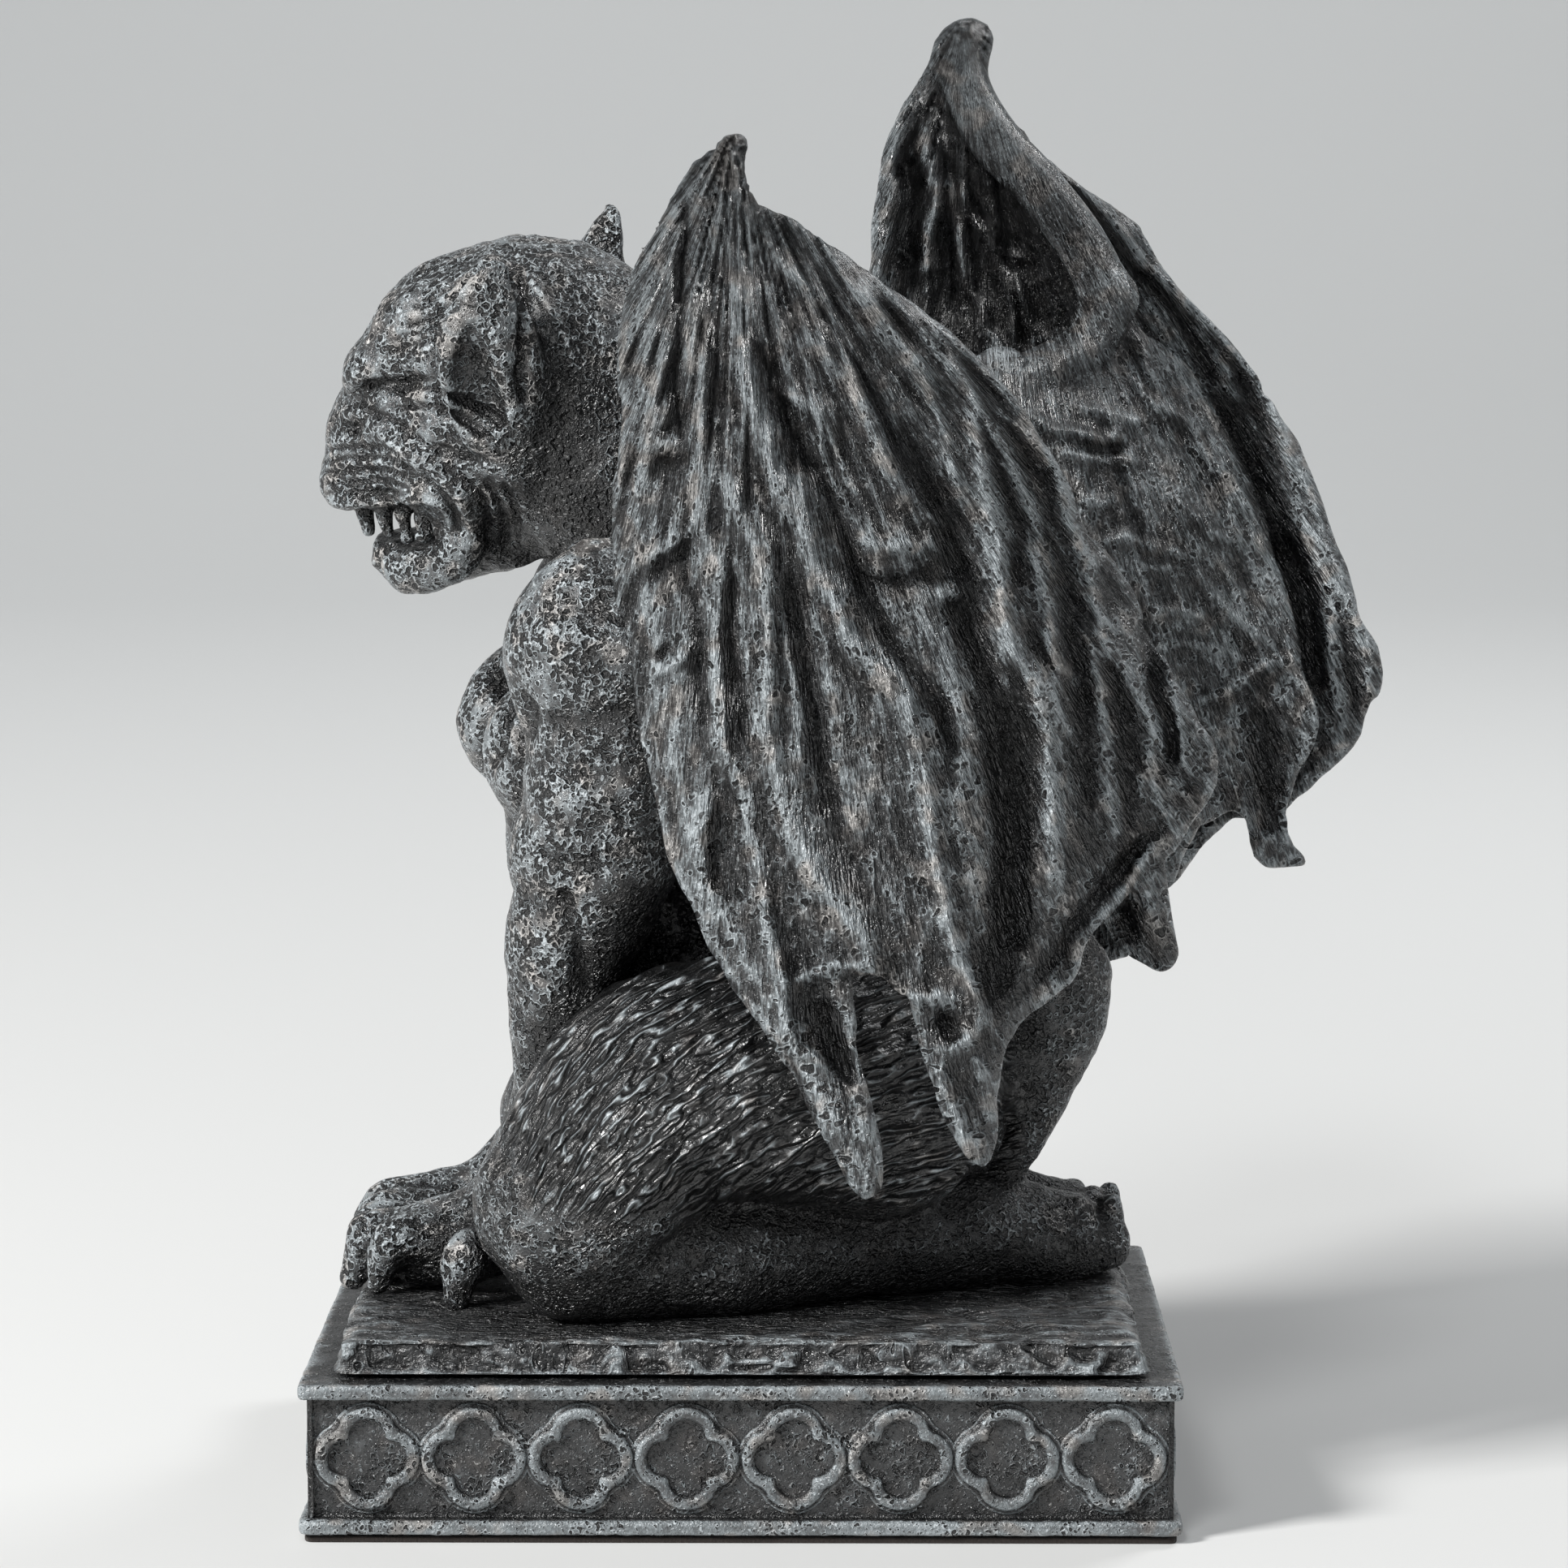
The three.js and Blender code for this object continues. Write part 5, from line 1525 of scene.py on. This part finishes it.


# Painted shade: how deep each place lies among the forms.


class Hollows:
    """A coarse block of the whole figure, blurred, that tells how shut in a place is, for the painted shade."""

    def __init__(self, low: tuple, high: tuple, step: float = 1.25) -> None:
        """Empty block between two corners."""
        self.low = np.array(low, dtype=float)
        self.step = step
        counts = np.ceil((np.array(high) - self.low) / step).astype(int) + 1
        self.solid = np.zeros(tuple(counts), dtype=np.float32)

    def fill(self, clay: Clay | PictureClay, matrix: Array | None = None, middle: Array | None = None) -> None:
        """Marks what one block of clay fills, turned back into its own frame first."""
        grid = np.indices(self.solid.shape).reshape(3, -1).T * self.step + self.low
        places = grid if matrix is None else (grid - middle) @ matrix
        found = clay.filled_at(places).reshape(self.solid.shape)
        self.solid = np.maximum(self.solid, found)

    def fill_below(self, height: float, half: tuple[float, float]) -> None:
        """Marks the slab and plinth below a height."""
        grid = np.indices(self.solid.shape)
        x, y, z = (grid[n] * self.step + self.low[n] for n in range(3))
        self.solid[(z < height) & (np.abs(x) < half[0]) & (np.abs(y) < half[1])] = 1.0

    def blurred(self, reach: float) -> Array:
        """The block evened out over a reach in millimetres."""
        out = self.solid.copy()
        width = max(int(round(reach / self.step)), 1)
        for _ in range(2):
            for axis in range(3):
                padded = np.concatenate([np.zeros_like(np.take(out, [0], axis))] + [np.cumsum(out, axis)], axis)
                n = out.shape[axis]
                upper = np.minimum(np.arange(n) + width + 1, n)
                lower = np.maximum(np.arange(n) - width, 0)
                out = (np.take(padded, upper, axis) - np.take(padded, lower, axis)) / (2 * width + 1)
        return out

    def at(self, block: Array, points: Array) -> Array:
        """Values of a block at places, read between its cubes."""
        spot = np.clip((points - self.low) / self.step, 0, np.array(block.shape) - 1.001)
        cell = np.floor(spot).astype(int)
        f = spot - cell
        total = np.zeros(len(points))
        for dx in (0, 1):
            for dy in (0, 1):
                for dz in (0, 1):
                    weight = np.abs(1 - dx - f[:, 0]) * np.abs(1 - dy - f[:, 1]) * np.abs(1 - dz - f[:, 2])
                    total += weight * block[cell[:, 0] + dx, cell[:, 1] + dy, cell[:, 2] + dz]
        return total

    def shade(self, carvings: list[Carving]) -> None:
        """Paints each surface with painted shade for how shut in it is, from 0 in the open to 1 in a deep hollow, plus
        the painted shade that its piece laid in its own hollows.
        """
        near, wide = self.blurred(2.6), self.blurred(7.0)
        for carving in carvings:
            ways = carving.normals()
            close = self.at(near, carving.points + 2.8 * ways)
            open_air = self.at(wide, carving.points + 7.0 * ways)
            # painted shade that each piece laid in its darkest hollows joins the painted shade here
            wash = carving.paint.pop("wash", np.zeros(len(close)))
            carving.paint["shade"] = np.clip(1.6 * close + 1.5 * open_air - 0.36 + wash, 0.0, 1.3)


# Finishes.


class Wiring:
    """Nodes of one tree, added and joined by what they do."""

    def __init__(self, tree: bpy.types.NodeTree) -> None:
        """Keeps the tree."""
        self.tree = tree

    def add(self, kind: str, inputs: dict | None = None, **settings: object) -> bpy.types.Node:
        """Adds a node, sets it up and joins or fills its inputs."""
        node = self.tree.nodes.new(kind)
        for name, value in settings.items():
            setattr(node, name, value)
        for name, value in (inputs or {}).items():
            self.feed(node.inputs[name], value)
        return node

    def feed(self, socket: bpy.types.NodeSocket, value: object) -> None:
        """Joins an output to a socket, or sets the socket's own value."""
        if isinstance(value, bpy.types.NodeSocket):
            self.tree.links.new(value, socket)
        else:
            socket.default_value = value

    def sum(self, operation: str, *terms: object, clamp: bool = False) -> bpy.types.NodeSocket:
        """Result of a math node."""
        node = self.add("ShaderNodeMath", operation=operation, use_clamp=clamp)
        for socket, term in zip(node.inputs, terms):
            self.feed(socket, term)
        return node.outputs[0]

    def scaled(self, vector: object, factors: tuple[float, float, float]) -> bpy.types.NodeSocket:
        """A vector with each part multiplied."""
        node = self.add("ShaderNodeVectorMath", operation="MULTIPLY")
        self.feed(node.inputs[0], vector)
        node.inputs[1].default_value = factors
        return node.outputs[0]

    def step(self, value: object, low: object, high: object) -> bpy.types.NodeSocket:
        """Soft step from 0 at low to 1 at high."""
        node = self.add("ShaderNodeMapRange", interpolation_type="SMOOTHSTEP")
        self.feed(node.inputs["Value"], value)
        self.feed(node.inputs["From Min"], low)
        self.feed(node.inputs["From Max"], high)
        return node.outputs["Result"]

    def painted(self, name: str, vector: bool = False) -> bpy.types.NodeSocket:
        """A value painted on the piece's points."""
        node = self.add("ShaderNodeAttribute", attribute_name=name)
        return node.outputs["Vector" if vector else "Fac"]


def new_group(name: str, inputs: dict[str, str], outputs: dict[str, str]) -> tuple[Wiring, object, object]:
    """An empty shader node group with named sockets, its inputs node and its outputs node."""
    tree = bpy.data.node_groups.new(name, "ShaderNodeTree")
    for direction, sockets in (("INPUT", inputs), ("OUTPUT", outputs)):
        for label, kind in sockets.items():
            tree.interface.new_socket(label, in_out=direction, socket_type=kind)
    wiring = Wiring(tree)
    return wiring, wiring.add("NodeGroupInput"), wiring.add("NodeGroupOutput")


class Effects:
    """The shader node groups that the finishes share."""

    def __init__(self) -> None:
        """Builds each group once."""
        self.pits = self._pits()
        self.streaks = self._streaks()
        self.strands = self._strands()
        self.brush = self._brush()

    def _pits(self) -> bpy.types.NodeTree:
        """Crowded round pits of uneven size with thin raised rims. Vector is in millimetres."""
        inputs = {"Vector": "NodeSocketVector", "Cells": "NodeSocketFloat", "Size": "NodeSocketFloat"}
        w, given, out = new_group("pits", inputs, {"Pit": "NodeSocketFloat", "Rim": "NodeSocketFloat"})
        cells = w.add("ShaderNodeTexVoronoi", {"Vector": given.outputs["Vector"], "Scale": given.outputs["Cells"]})
        pick = w.add("ShaderNodeSeparateColor", {"Color": cells.outputs["Color"]})
        spread = w.sum("MULTIPLY_ADD", pick.outputs[0], 0.26, 0.36)
        radius = w.sum("MULTIPLY", spread, given.outputs["Size"])
        reach = cells.outputs["Distance"]
        pit = w.sum("SUBTRACT", 1.0, w.step(reach, w.sum("MULTIPLY", radius, 0.6), radius))
        inside = w.step(reach, w.sum("MULTIPLY", radius, 0.8), w.sum("MULTIPLY", radius, 1.06))
        beyond = w.step(reach, w.sum("ADD", radius, 0.05), w.sum("ADD", radius, 0.17))
        rim = w.sum("MULTIPLY", inside, w.sum("SUBTRACT", 1.0, beyond))
        w.feed(out.inputs["Pit"], pit)
        w.feed(out.inputs["Rim"], w.sum("MULTIPLY", rim, w.step(given.outputs["Size"], 0.05, 0.3)))
        return w.tree

    def _streaks(self) -> bpy.types.NodeTree:
        """Bark-like streaks, wide and fine, along the second axis of a vector in millimetres."""
        inputs = {"Vector": "NodeSocketVector", "Fine": "NodeSocketFloat"}
        w, given, out = new_group("streaks", inputs, {"Streak": "NodeSocketFloat"})
        found = []
        for drawn, scale, slope in (((1.0, 0.16, 1.0), 0.62, 4.0), ((1.0, 0.13, 1.0), 1.9, 3.0)):
            along = w.scaled(given.outputs["Vector"], drawn)
            size = w.sum("MULTIPLY", given.outputs["Fine"], scale)
            grains = w.add(
                "ShaderNodeTexNoise", {"Vector": along, "Scale": size, "Detail": 2.0, "Roughness": 0.6}
            )
            ridge = w.sum("ABSOLUTE", w.sum("MULTIPLY_ADD", grains.outputs["Fac"], 2.0, -1.0))
            found.append(w.sum("SUBTRACT", 1.0, w.sum("MULTIPLY", ridge, slope, clamp=True)))
        w.feed(out.inputs["Streak"], w.sum("MULTIPLY_ADD", found[1], 0.6, w.sum("MULTIPLY", found[0], 0.5)))
        return w.tree

    def _strands(self) -> bpy.types.NodeTree:
        """Wavy locks of hair along the second axis of a vector in millimetres, joining and parting."""
        w, given, out = new_group("strands", {"Vector": "NodeSocketVector"}, {"Strand": "NodeSocketFloat"})
        split = w.add("ShaderNodeSeparateXYZ", {"Vector": given.outputs["Vector"]})
        slow = w.scaled(given.outputs["Vector"], (0.42, 0.15, 1.0))
        stray = w.add("ShaderNodeTexNoise", {"Vector": slow, "Scale": 1.0, "Detail": 2.0, "Roughness": 0.55})
        phase = w.sum("MULTIPLY_ADD", stray.outputs["Fac"], 5.5, w.sum("MULTIPLY", split.outputs["X"], 0.82))
        saw = w.sum("MULTIPLY_ADD", w.sum("FRACT", phase), 2.0, -1.0)
        lock = w.sum("SUBTRACT", 1.0, w.sum("ABSOLUTE", saw))
        quick = w.scaled(given.outputs["Vector"], (1.1, 0.24, 1.0))
        broken = w.add("ShaderNodeTexNoise", {"Vector": quick, "Scale": 1.0, "Detail": 2.0})
        w.feed(out.inputs["Strand"], w.sum("MULTIPLY", lock, w.step(broken.outputs["Fac"], 0.3, 0.56)))
        return w.tree

    def _brush(self) -> bpy.types.NodeTree:
        """Cold-cast paint: black in the hollows, warm grey on the flats and dry-brushed blue grey on the ridges, with
        painted shade from the Shade input and partly from the broad Form darkening hollows and recesses.
        """
        inputs = {
            "Relief": "NodeSocketFloat", "Form": "NodeSocketFloat", "Shade": "NodeSocketFloat",
            "Fine": "NodeSocketFloat", "Vector": "NodeSocketVector", "Lift": "NodeSocketFloat",
        }
        outputs = {"Color": "NodeSocketColor", "Roughness": "NodeSocketFloat"}
        w, given, out = new_group("dry_brush", inputs, outputs)
        patch = w.add("ShaderNodeTexNoise", {"Vector": given.outputs["Vector"], "Scale": 0.16, "Detail": 3.0, "Roughness": 0.65})
        level = w.sum("MULTIPLY_ADD", given.outputs["Relief"], 0.2, given.outputs["Lift"])
        # broad form lightens swells and darkens hollows: partly dry-brushed paint, partly painted shade
        level = w.sum("MULTIPLY_ADD", given.outputs["Form"], 0.22, level)
        level = w.sum("ADD", given.outputs["Fine"], level)
        level = w.sum("MULTIPLY_ADD", w.sum("SUBTRACT", patch.outputs["Fac"], 0.5), 0.6, level)
        # painted shade: the Shade value darkens hollows, recesses and places under and between parts
        level = w.sum("MULTIPLY_ADD", given.outputs["Shade"], -0.72, level, clamp=True)
        ramp = w.add("ShaderNodeValToRGB", {"Fac": level})
        stops = (
            (0.0, (0.003, 0.0031, 0.0033)), (0.26, (0.008, 0.0084, 0.009)), (0.44, (0.027, 0.0278, 0.029)),
            (0.58, (0.075, 0.079, 0.082)), (0.74, (0.19, 0.212, 0.222)), (1.0, (0.43, 0.47, 0.49)),
        )
        band = ramp.color_ramp
        band.elements[0].position, band.elements[1].position = stops[0][0], stops[-1][0]
        for place, _ in stops[1:-1]:
            band.elements.new(place)
        for element, (_, colour) in zip(band.elements, stops):
            element.color = (*colour, 1.0)
        rust = w.add("ShaderNodeTexNoise", {"Vector": given.outputs["Vector"], "Scale": 0.3, "Detail": 1.0})
        warm = w.add("ShaderNodeMix", data_type="RGBA", blend_type="MULTIPLY")
        w.feed(warm.inputs["Factor"], w.step(rust.outputs["Fac"], 0.5, 0.68))
        w.feed(warm.inputs["A"], ramp.outputs["Color"])
        warm.inputs["B"].default_value = (1.12, 0.98, 0.90, 1.0)
        w.feed(out.inputs["Color"], warm.outputs["Result"])
        glossy = w.add("ShaderNodeTexNoise", {"Vector": given.outputs["Vector"], "Scale": 0.5, "Detail": 1.0})
        w.feed(out.inputs["Roughness"], w.sum("MULTIPLY_ADD", glossy.outputs["Fac"], 0.4, 0.12))
        return w.tree


@dataclass(frozen=True)
class StoneLook:
    """How one kind of surface on the casting is textured and painted."""

    finish: Finish
    pit_cells: float = 0.85
    pit_size: float = 1.0
    pit_depth: float = 0.3
    pit_paint: float = 0.5
    rim_paint: float = 0.3
    streak_depth: float = 0.0
    streak_paint: float = 0.0
    streak_fine: float = 1.4
    lift: float = 0.5
    smooth: float = 0.36
    haired: bool = False

    def material(self, effects: Effects) -> bpy.types.Material:
        """Builds the material."""
        made = bpy.data.materials.new(self.finish.value)
        made.use_nodes = True
        made.node_tree.nodes.clear()
        w = Wiring(made.node_tree)
        here = w.add("ShaderNodeTexCoord")
        spot = w.scaled(here.outputs["Object"], (1000.0, 1000.0, 1000.0))
        grain = w.painted("grain", True)
        where = w.add("ShaderNodeTexNoise", {"Vector": spot, "Scale": 0.2, "Detail": 1.0})
        crowd = w.sum("MULTIPLY_ADD", w.step(where.outputs["Fac"], self.smooth, self.smooth + 0.14), 0.45, 0.55)
        crowd = w.sum("MULTIPLY", crowd, self.pit_size)
        if self.haired:
            crowd = w.sum("MULTIPLY", crowd, w.sum("MULTIPLY_ADD", w.painted("pelt"), -0.95, 1.0))
        laid = w.scaled(grain, (1.0, 0.7, 1.0)) if self.streak_depth > 0 else spot
        stray = w.add("ShaderNodeTexNoise", {"Vector": laid, "Scale": 1.5, "Detail": 0.0})
        bent = w.add("ShaderNodeVectorMath", operation="ADD")
        w.feed(bent.inputs[0], laid)
        w.feed(bent.inputs[1], w.scaled(stray.outputs["Color"], (0.8, 0.8, 0.8)))
        holes = []
        for cells in (self.pit_cells, 1.8 * self.pit_cells):
            pits = w.add("ShaderNodeGroup", node_tree=effects.pits)
            for label, value in (("Vector", bent.outputs[0]), ("Cells", cells), ("Size", crowd)):
                w.feed(pits.inputs[label], value)
            holes.append(pits.outputs)
        pit = w.sum("MAXIMUM", holes[0]["Pit"], w.sum("MULTIPLY", holes[1]["Pit"], 0.7))
        rim = w.sum("MAXIMUM", holes[0]["Rim"], w.sum("MULTIPLY", holes[1]["Rim"], 0.6))
        fine = w.sum("SUBTRACT", w.sum("MULTIPLY", rim, self.rim_paint), w.sum("MULTIPLY", pit, self.pit_paint))
        height = w.sum("MULTIPLY_ADD", pit, -self.pit_depth, w.sum("MULTIPLY", rim, 0.35 * self.pit_depth))
        if self.streak_depth > 0:
            streaks = w.add("ShaderNodeGroup", node_tree=effects.streaks)
            w.feed(streaks.inputs["Vector"], grain)
            w.feed(streaks.inputs["Fine"], self.streak_fine)
            fine = w.sum("MULTIPLY_ADD", streaks.outputs["Streak"], self.streak_paint, fine)
            height = w.sum("MULTIPLY_ADD", streaks.outputs["Streak"], self.streak_depth, height)
        if self.haired:
            strands = w.add("ShaderNodeGroup", node_tree=effects.strands)
            w.feed(strands.inputs["Vector"], grain)
            lock = w.sum("MULTIPLY", strands.outputs["Strand"], w.painted("pelt"))
            centred = w.sum("MULTIPLY_ADD", w.painted("pelt"), -0.52, lock)
            fine = w.sum("MULTIPLY_ADD", centred, 1.2, fine)
            height = w.sum("MULTIPLY_ADD", lock, 0.8, height)
        speck = w.add("ShaderNodeTexNoise", {"Vector": spot, "Scale": 2.6, "Detail": 2.0, "Roughness": 0.7})
        height = w.sum("MULTIPLY_ADD", speck.outputs["Fac"], 0.22, height)
        fine = w.sum("MULTIPLY_ADD", w.sum("SUBTRACT", speck.outputs["Fac"], 0.5), 0.4, fine)
        brush = w.add("ShaderNodeGroup", node_tree=effects.brush)
        for label, value in (
            ("Relief", w.painted("relief")), ("Form", w.painted("form")), ("Shade", w.painted("shade")),
            ("Fine", fine), ("Vector", spot), ("Lift", self.lift),
        ):
            w.feed(brush.inputs[label], value)
        bump = w.add("ShaderNodeBump", {"Height": height, "Strength": 1.0, "Distance": 0.001})
        skin = w.add("ShaderNodeBsdfPrincipled", {"Normal": bump.outputs["Normal"]})
        w.feed(skin.inputs["Base Color"], brush.outputs["Color"])
        w.feed(skin.inputs["Roughness"], brush.outputs["Roughness"])
        skin.inputs["Specular IOR Level"].default_value = 0.9
        out = w.add("ShaderNodeOutputMaterial")
        w.feed(out.inputs["Surface"], skin.outputs["BSDF"])
        return made


@dataclass(frozen=True)
class FeltLook:
    """Short dark brown felt."""

    colour: tuple[float, float, float] = (0.02, 0.014, 0.011)

    def material(self) -> bpy.types.Material:
        """Builds the material."""
        made = bpy.data.materials.new(Finish.FELT.value)
        made.use_nodes = True
        made.node_tree.nodes.clear()
        w = Wiring(made.node_tree)
        here = w.add("ShaderNodeTexCoord")
        fibres = w.add("ShaderNodeTexNoise", {"Vector": here.outputs["Object"], "Scale": 3500.0, "Detail": 4.0})
        tone = w.add("ShaderNodeMix", data_type="RGBA")
        w.feed(tone.inputs["Factor"], fibres.outputs["Fac"])
        tone.inputs["A"].default_value = (*(0.4 * c for c in self.colour), 1.0)
        tone.inputs["B"].default_value = (*(1.7 * c for c in self.colour), 1.0)
        bump = w.add("ShaderNodeBump", {"Height": fibres.outputs["Fac"], "Strength": 0.8, "Distance": 0.0003})
        skin = w.add("ShaderNodeBsdfPrincipled", {"Base Color": tone.outputs["Result"], "Normal": bump.outputs["Normal"]})
        skin.inputs["Roughness"].default_value = 0.95
        skin.inputs["Sheen Weight"].default_value = 0.2
        out = w.add("ShaderNodeOutputMaterial")
        w.feed(out.inputs["Surface"], skin.outputs["BSDF"])
        return made


# Studio.


@dataclass
class Studio:
    """Pale floor that sweeps up behind the object, soft lights and the photograph's camera."""

    floor: tuple[float, float, float] = (0.73, 0.73, 0.72)
    half: float = 2.4
    sweep: float = 1.6
    bends: int = 24

    def _floor(self) -> None:
        """A plane whose far edge is drawn up in a wide smooth curve."""
        bpy.ops.object.select_all(action="DESELECT")
        bpy.ops.mesh.primitive_plane_add(size=2 * self.half, location=(0, self.half - 3.6, 0))
        floor = bpy.context.active_object
        floor.name = "floor"
        for vertex in floor.data.vertices:
            vertex.select = vertex.co.y > 0
        for edge in floor.data.edges:
            edge.select = all(floor.data.vertices[v].select for v in edge.vertices)
        for face in floor.data.polygons:
            face.select = False
        bpy.ops.object.mode_set(mode="EDIT")
        turn = math.pi / 2 / self.bends
        for n in range(self.bends):
            lean = turn * (n + 0.5)
            rise = self.sweep * turn
            move = (0, rise * math.cos(lean), rise * math.sin(lean))
            bpy.ops.mesh.extrude_region_move(TRANSFORM_OT_translate={"value": move})
        bpy.ops.mesh.extrude_region_move(TRANSFORM_OT_translate={"value": (0, 0, 1.5)})
        bpy.ops.object.mode_set(mode="OBJECT")
        bpy.ops.object.transform_apply(location=True, rotation=True, scale=True)
        floor.data.shade_smooth()
        made = bpy.data.materials.new("pale_floor")
        made.use_nodes = True
        skin = made.node_tree.nodes["Principled BSDF"]
        skin.inputs["Base Color"].default_value = (*self.floor, 1.0)
        skin.inputs["Roughness"].default_value = 0.8
        floor.data.materials.append(made)

    def _light(self, name: str, place: tuple, target: tuple, size: float, power: float, tint: tuple) -> None:
        """A square soft light aimed at a point."""
        from mathutils import Vector

        data = bpy.data.lights.new(name, "AREA")
        data.size, data.energy, data.color = size, power, tint
        lamp = bpy.data.objects.new(name, data)
        lamp.location = place
        lamp.rotation_euler = (Vector(target) - Vector(place)).to_track_quat("-Z", "Y").to_euler()
        bpy.context.scene.collection.objects.link(lamp)

    def _camera(self) -> None:
        """The camera that the photograph was taken with."""
        data = bpy.data.cameras.new("camera")
        data.sensor_width = data.sensor_height = 36.0
        data.lens = 36.0 * VIEW.focal / VIEW.frame_points
        data.clip_start, data.clip_end = 0.05, 20.0
        camera = bpy.data.objects.new("camera", data)
        camera.location = tuple(c * MM for c in VIEW.place)
        camera.rotation_euler = (math.pi / 2 - VIEW.pitch, 0.0, -VIEW.yaw)
        bpy.context.scene.collection.objects.link(camera)
        bpy.context.scene.camera = camera

    def build(self) -> None:
        """Sets up floor, lights, air and camera."""
        self._floor()
        aim = (0.0, 0.0, 0.09)
        self._light("key", (-0.9, -0.6, 0.78), aim, 0.26, 20.0, (1.0, 0.995, 0.985))
        self._light("front", (-0.3, -0.95, 1.05), aim, 0.3, 4.6, (0.97, 0.99, 1.0))
        self._light("rim", (0.55, 0.55, 0.75), aim, 0.3, 3.0, (0.98, 0.99, 1.0))
        self._light("backdrop", (0.0, 0.9, 1.7), (0.0, 3.0, 0.6), 1.4, 16.0, (0.95, 0.98, 1.0))
        world = bpy.data.worlds.new("air")
        world.use_nodes = True
        air = world.node_tree.nodes["Background"]
        air.inputs["Color"].default_value = (0.93, 0.96, 1.0, 1.0)
        air.inputs["Strength"].default_value = 0.2
        bpy.context.scene.world = world
        bpy.context.scene.view_settings.view_transform = "Standard"
        self._camera()


TRIANGLES = {"near_wing": 188000, "far_wing": 150000, "legs_and_tail": 150000, "rock_slab": 60000, "carved_plinth": 80000}
LOOKS = {
    Finish.HIDE: StoneLook(Finish.HIDE, 0.95, 1.0, 0.5, 1.0, 0.5, lift=0.49),
    Finish.PELT: StoneLook(Finish.PELT, 0.95, 1.0, 0.45, 0.85, 0.42, lift=0.36, haired=True),
    Finish.MEMBRANE: StoneLook(Finish.MEMBRANE, 0.95, 0.68, 0.4, 0.45, 0.24, 0.6, 0.5, 1.3, lift=0.23, smooth=0.45),
    Finish.ROCK: StoneLook(Finish.ROCK, 0.9, 0.7, 0.2, 0.35, 0.18, 0.35, 0.34, 1.0, lift=0.25, smooth=0.5),
    Finish.CARVING: StoneLook(Finish.CARVING, 1.1, 0.7, 0.3, 0.8, 0.26, lift=0.37, smooth=0.44),
}


def main() -> None:
    """Builds the gargoyle, its slab, plinth and felt, and the studio round them."""
    effects = Effects()
    hollows = Hollows((-60, -48, 0), (88, 58, 180))
    head_clay, head = Head().build()
    body_clay, body = Body().build()
    legs_clay, legs = Legs().build()
    near_clay, near = NearWing().build()
    far_clay, far = FarWing().build()
    slab, plinth, felt = RockSlab().build(), Plinth().build(), FeltPad().build()
    for clay in (body_clay, legs_clay, near_clay, far_clay):
        hollows.fill(clay)
    hollows.fill(head_clay, head_clay.matrix, head_clay.middle)
    hollows.fill_below(22.4, (47.0, 35.0))
    hollows.shade([head, body, legs, near, far, slab, plinth])
    stone = "dark_stone"
    pieces = (
        ("head", head, "gargoyle", Finish.HIDE), ("body", body, "gargoyle", Finish.HIDE),
        ("legs_and_tail", legs, "gargoyle", Finish.PELT), ("near_wing", near, "gargoyle", Finish.MEMBRANE),
        ("far_wing", far, "gargoyle", Finish.MEMBRANE), ("rock_slab", slab, "gargoyle", Finish.ROCK),
        ("carved_plinth", plinth, "plinth", Finish.CARVING),
    )
    for name, carving, node, finish in pieces:
        piece = carving.cast(name, (node,), stone, TRIANGLES.get(name, 130000))
        piece.data.materials.append(LOOKS[finish].material(effects))
    pad = felt.cast("felt_base", ("felt_pad",), "felt")
    pad.data.materials.append(FeltLook().material())
    Studio().build()


if __name__ == "__main__":
    main()
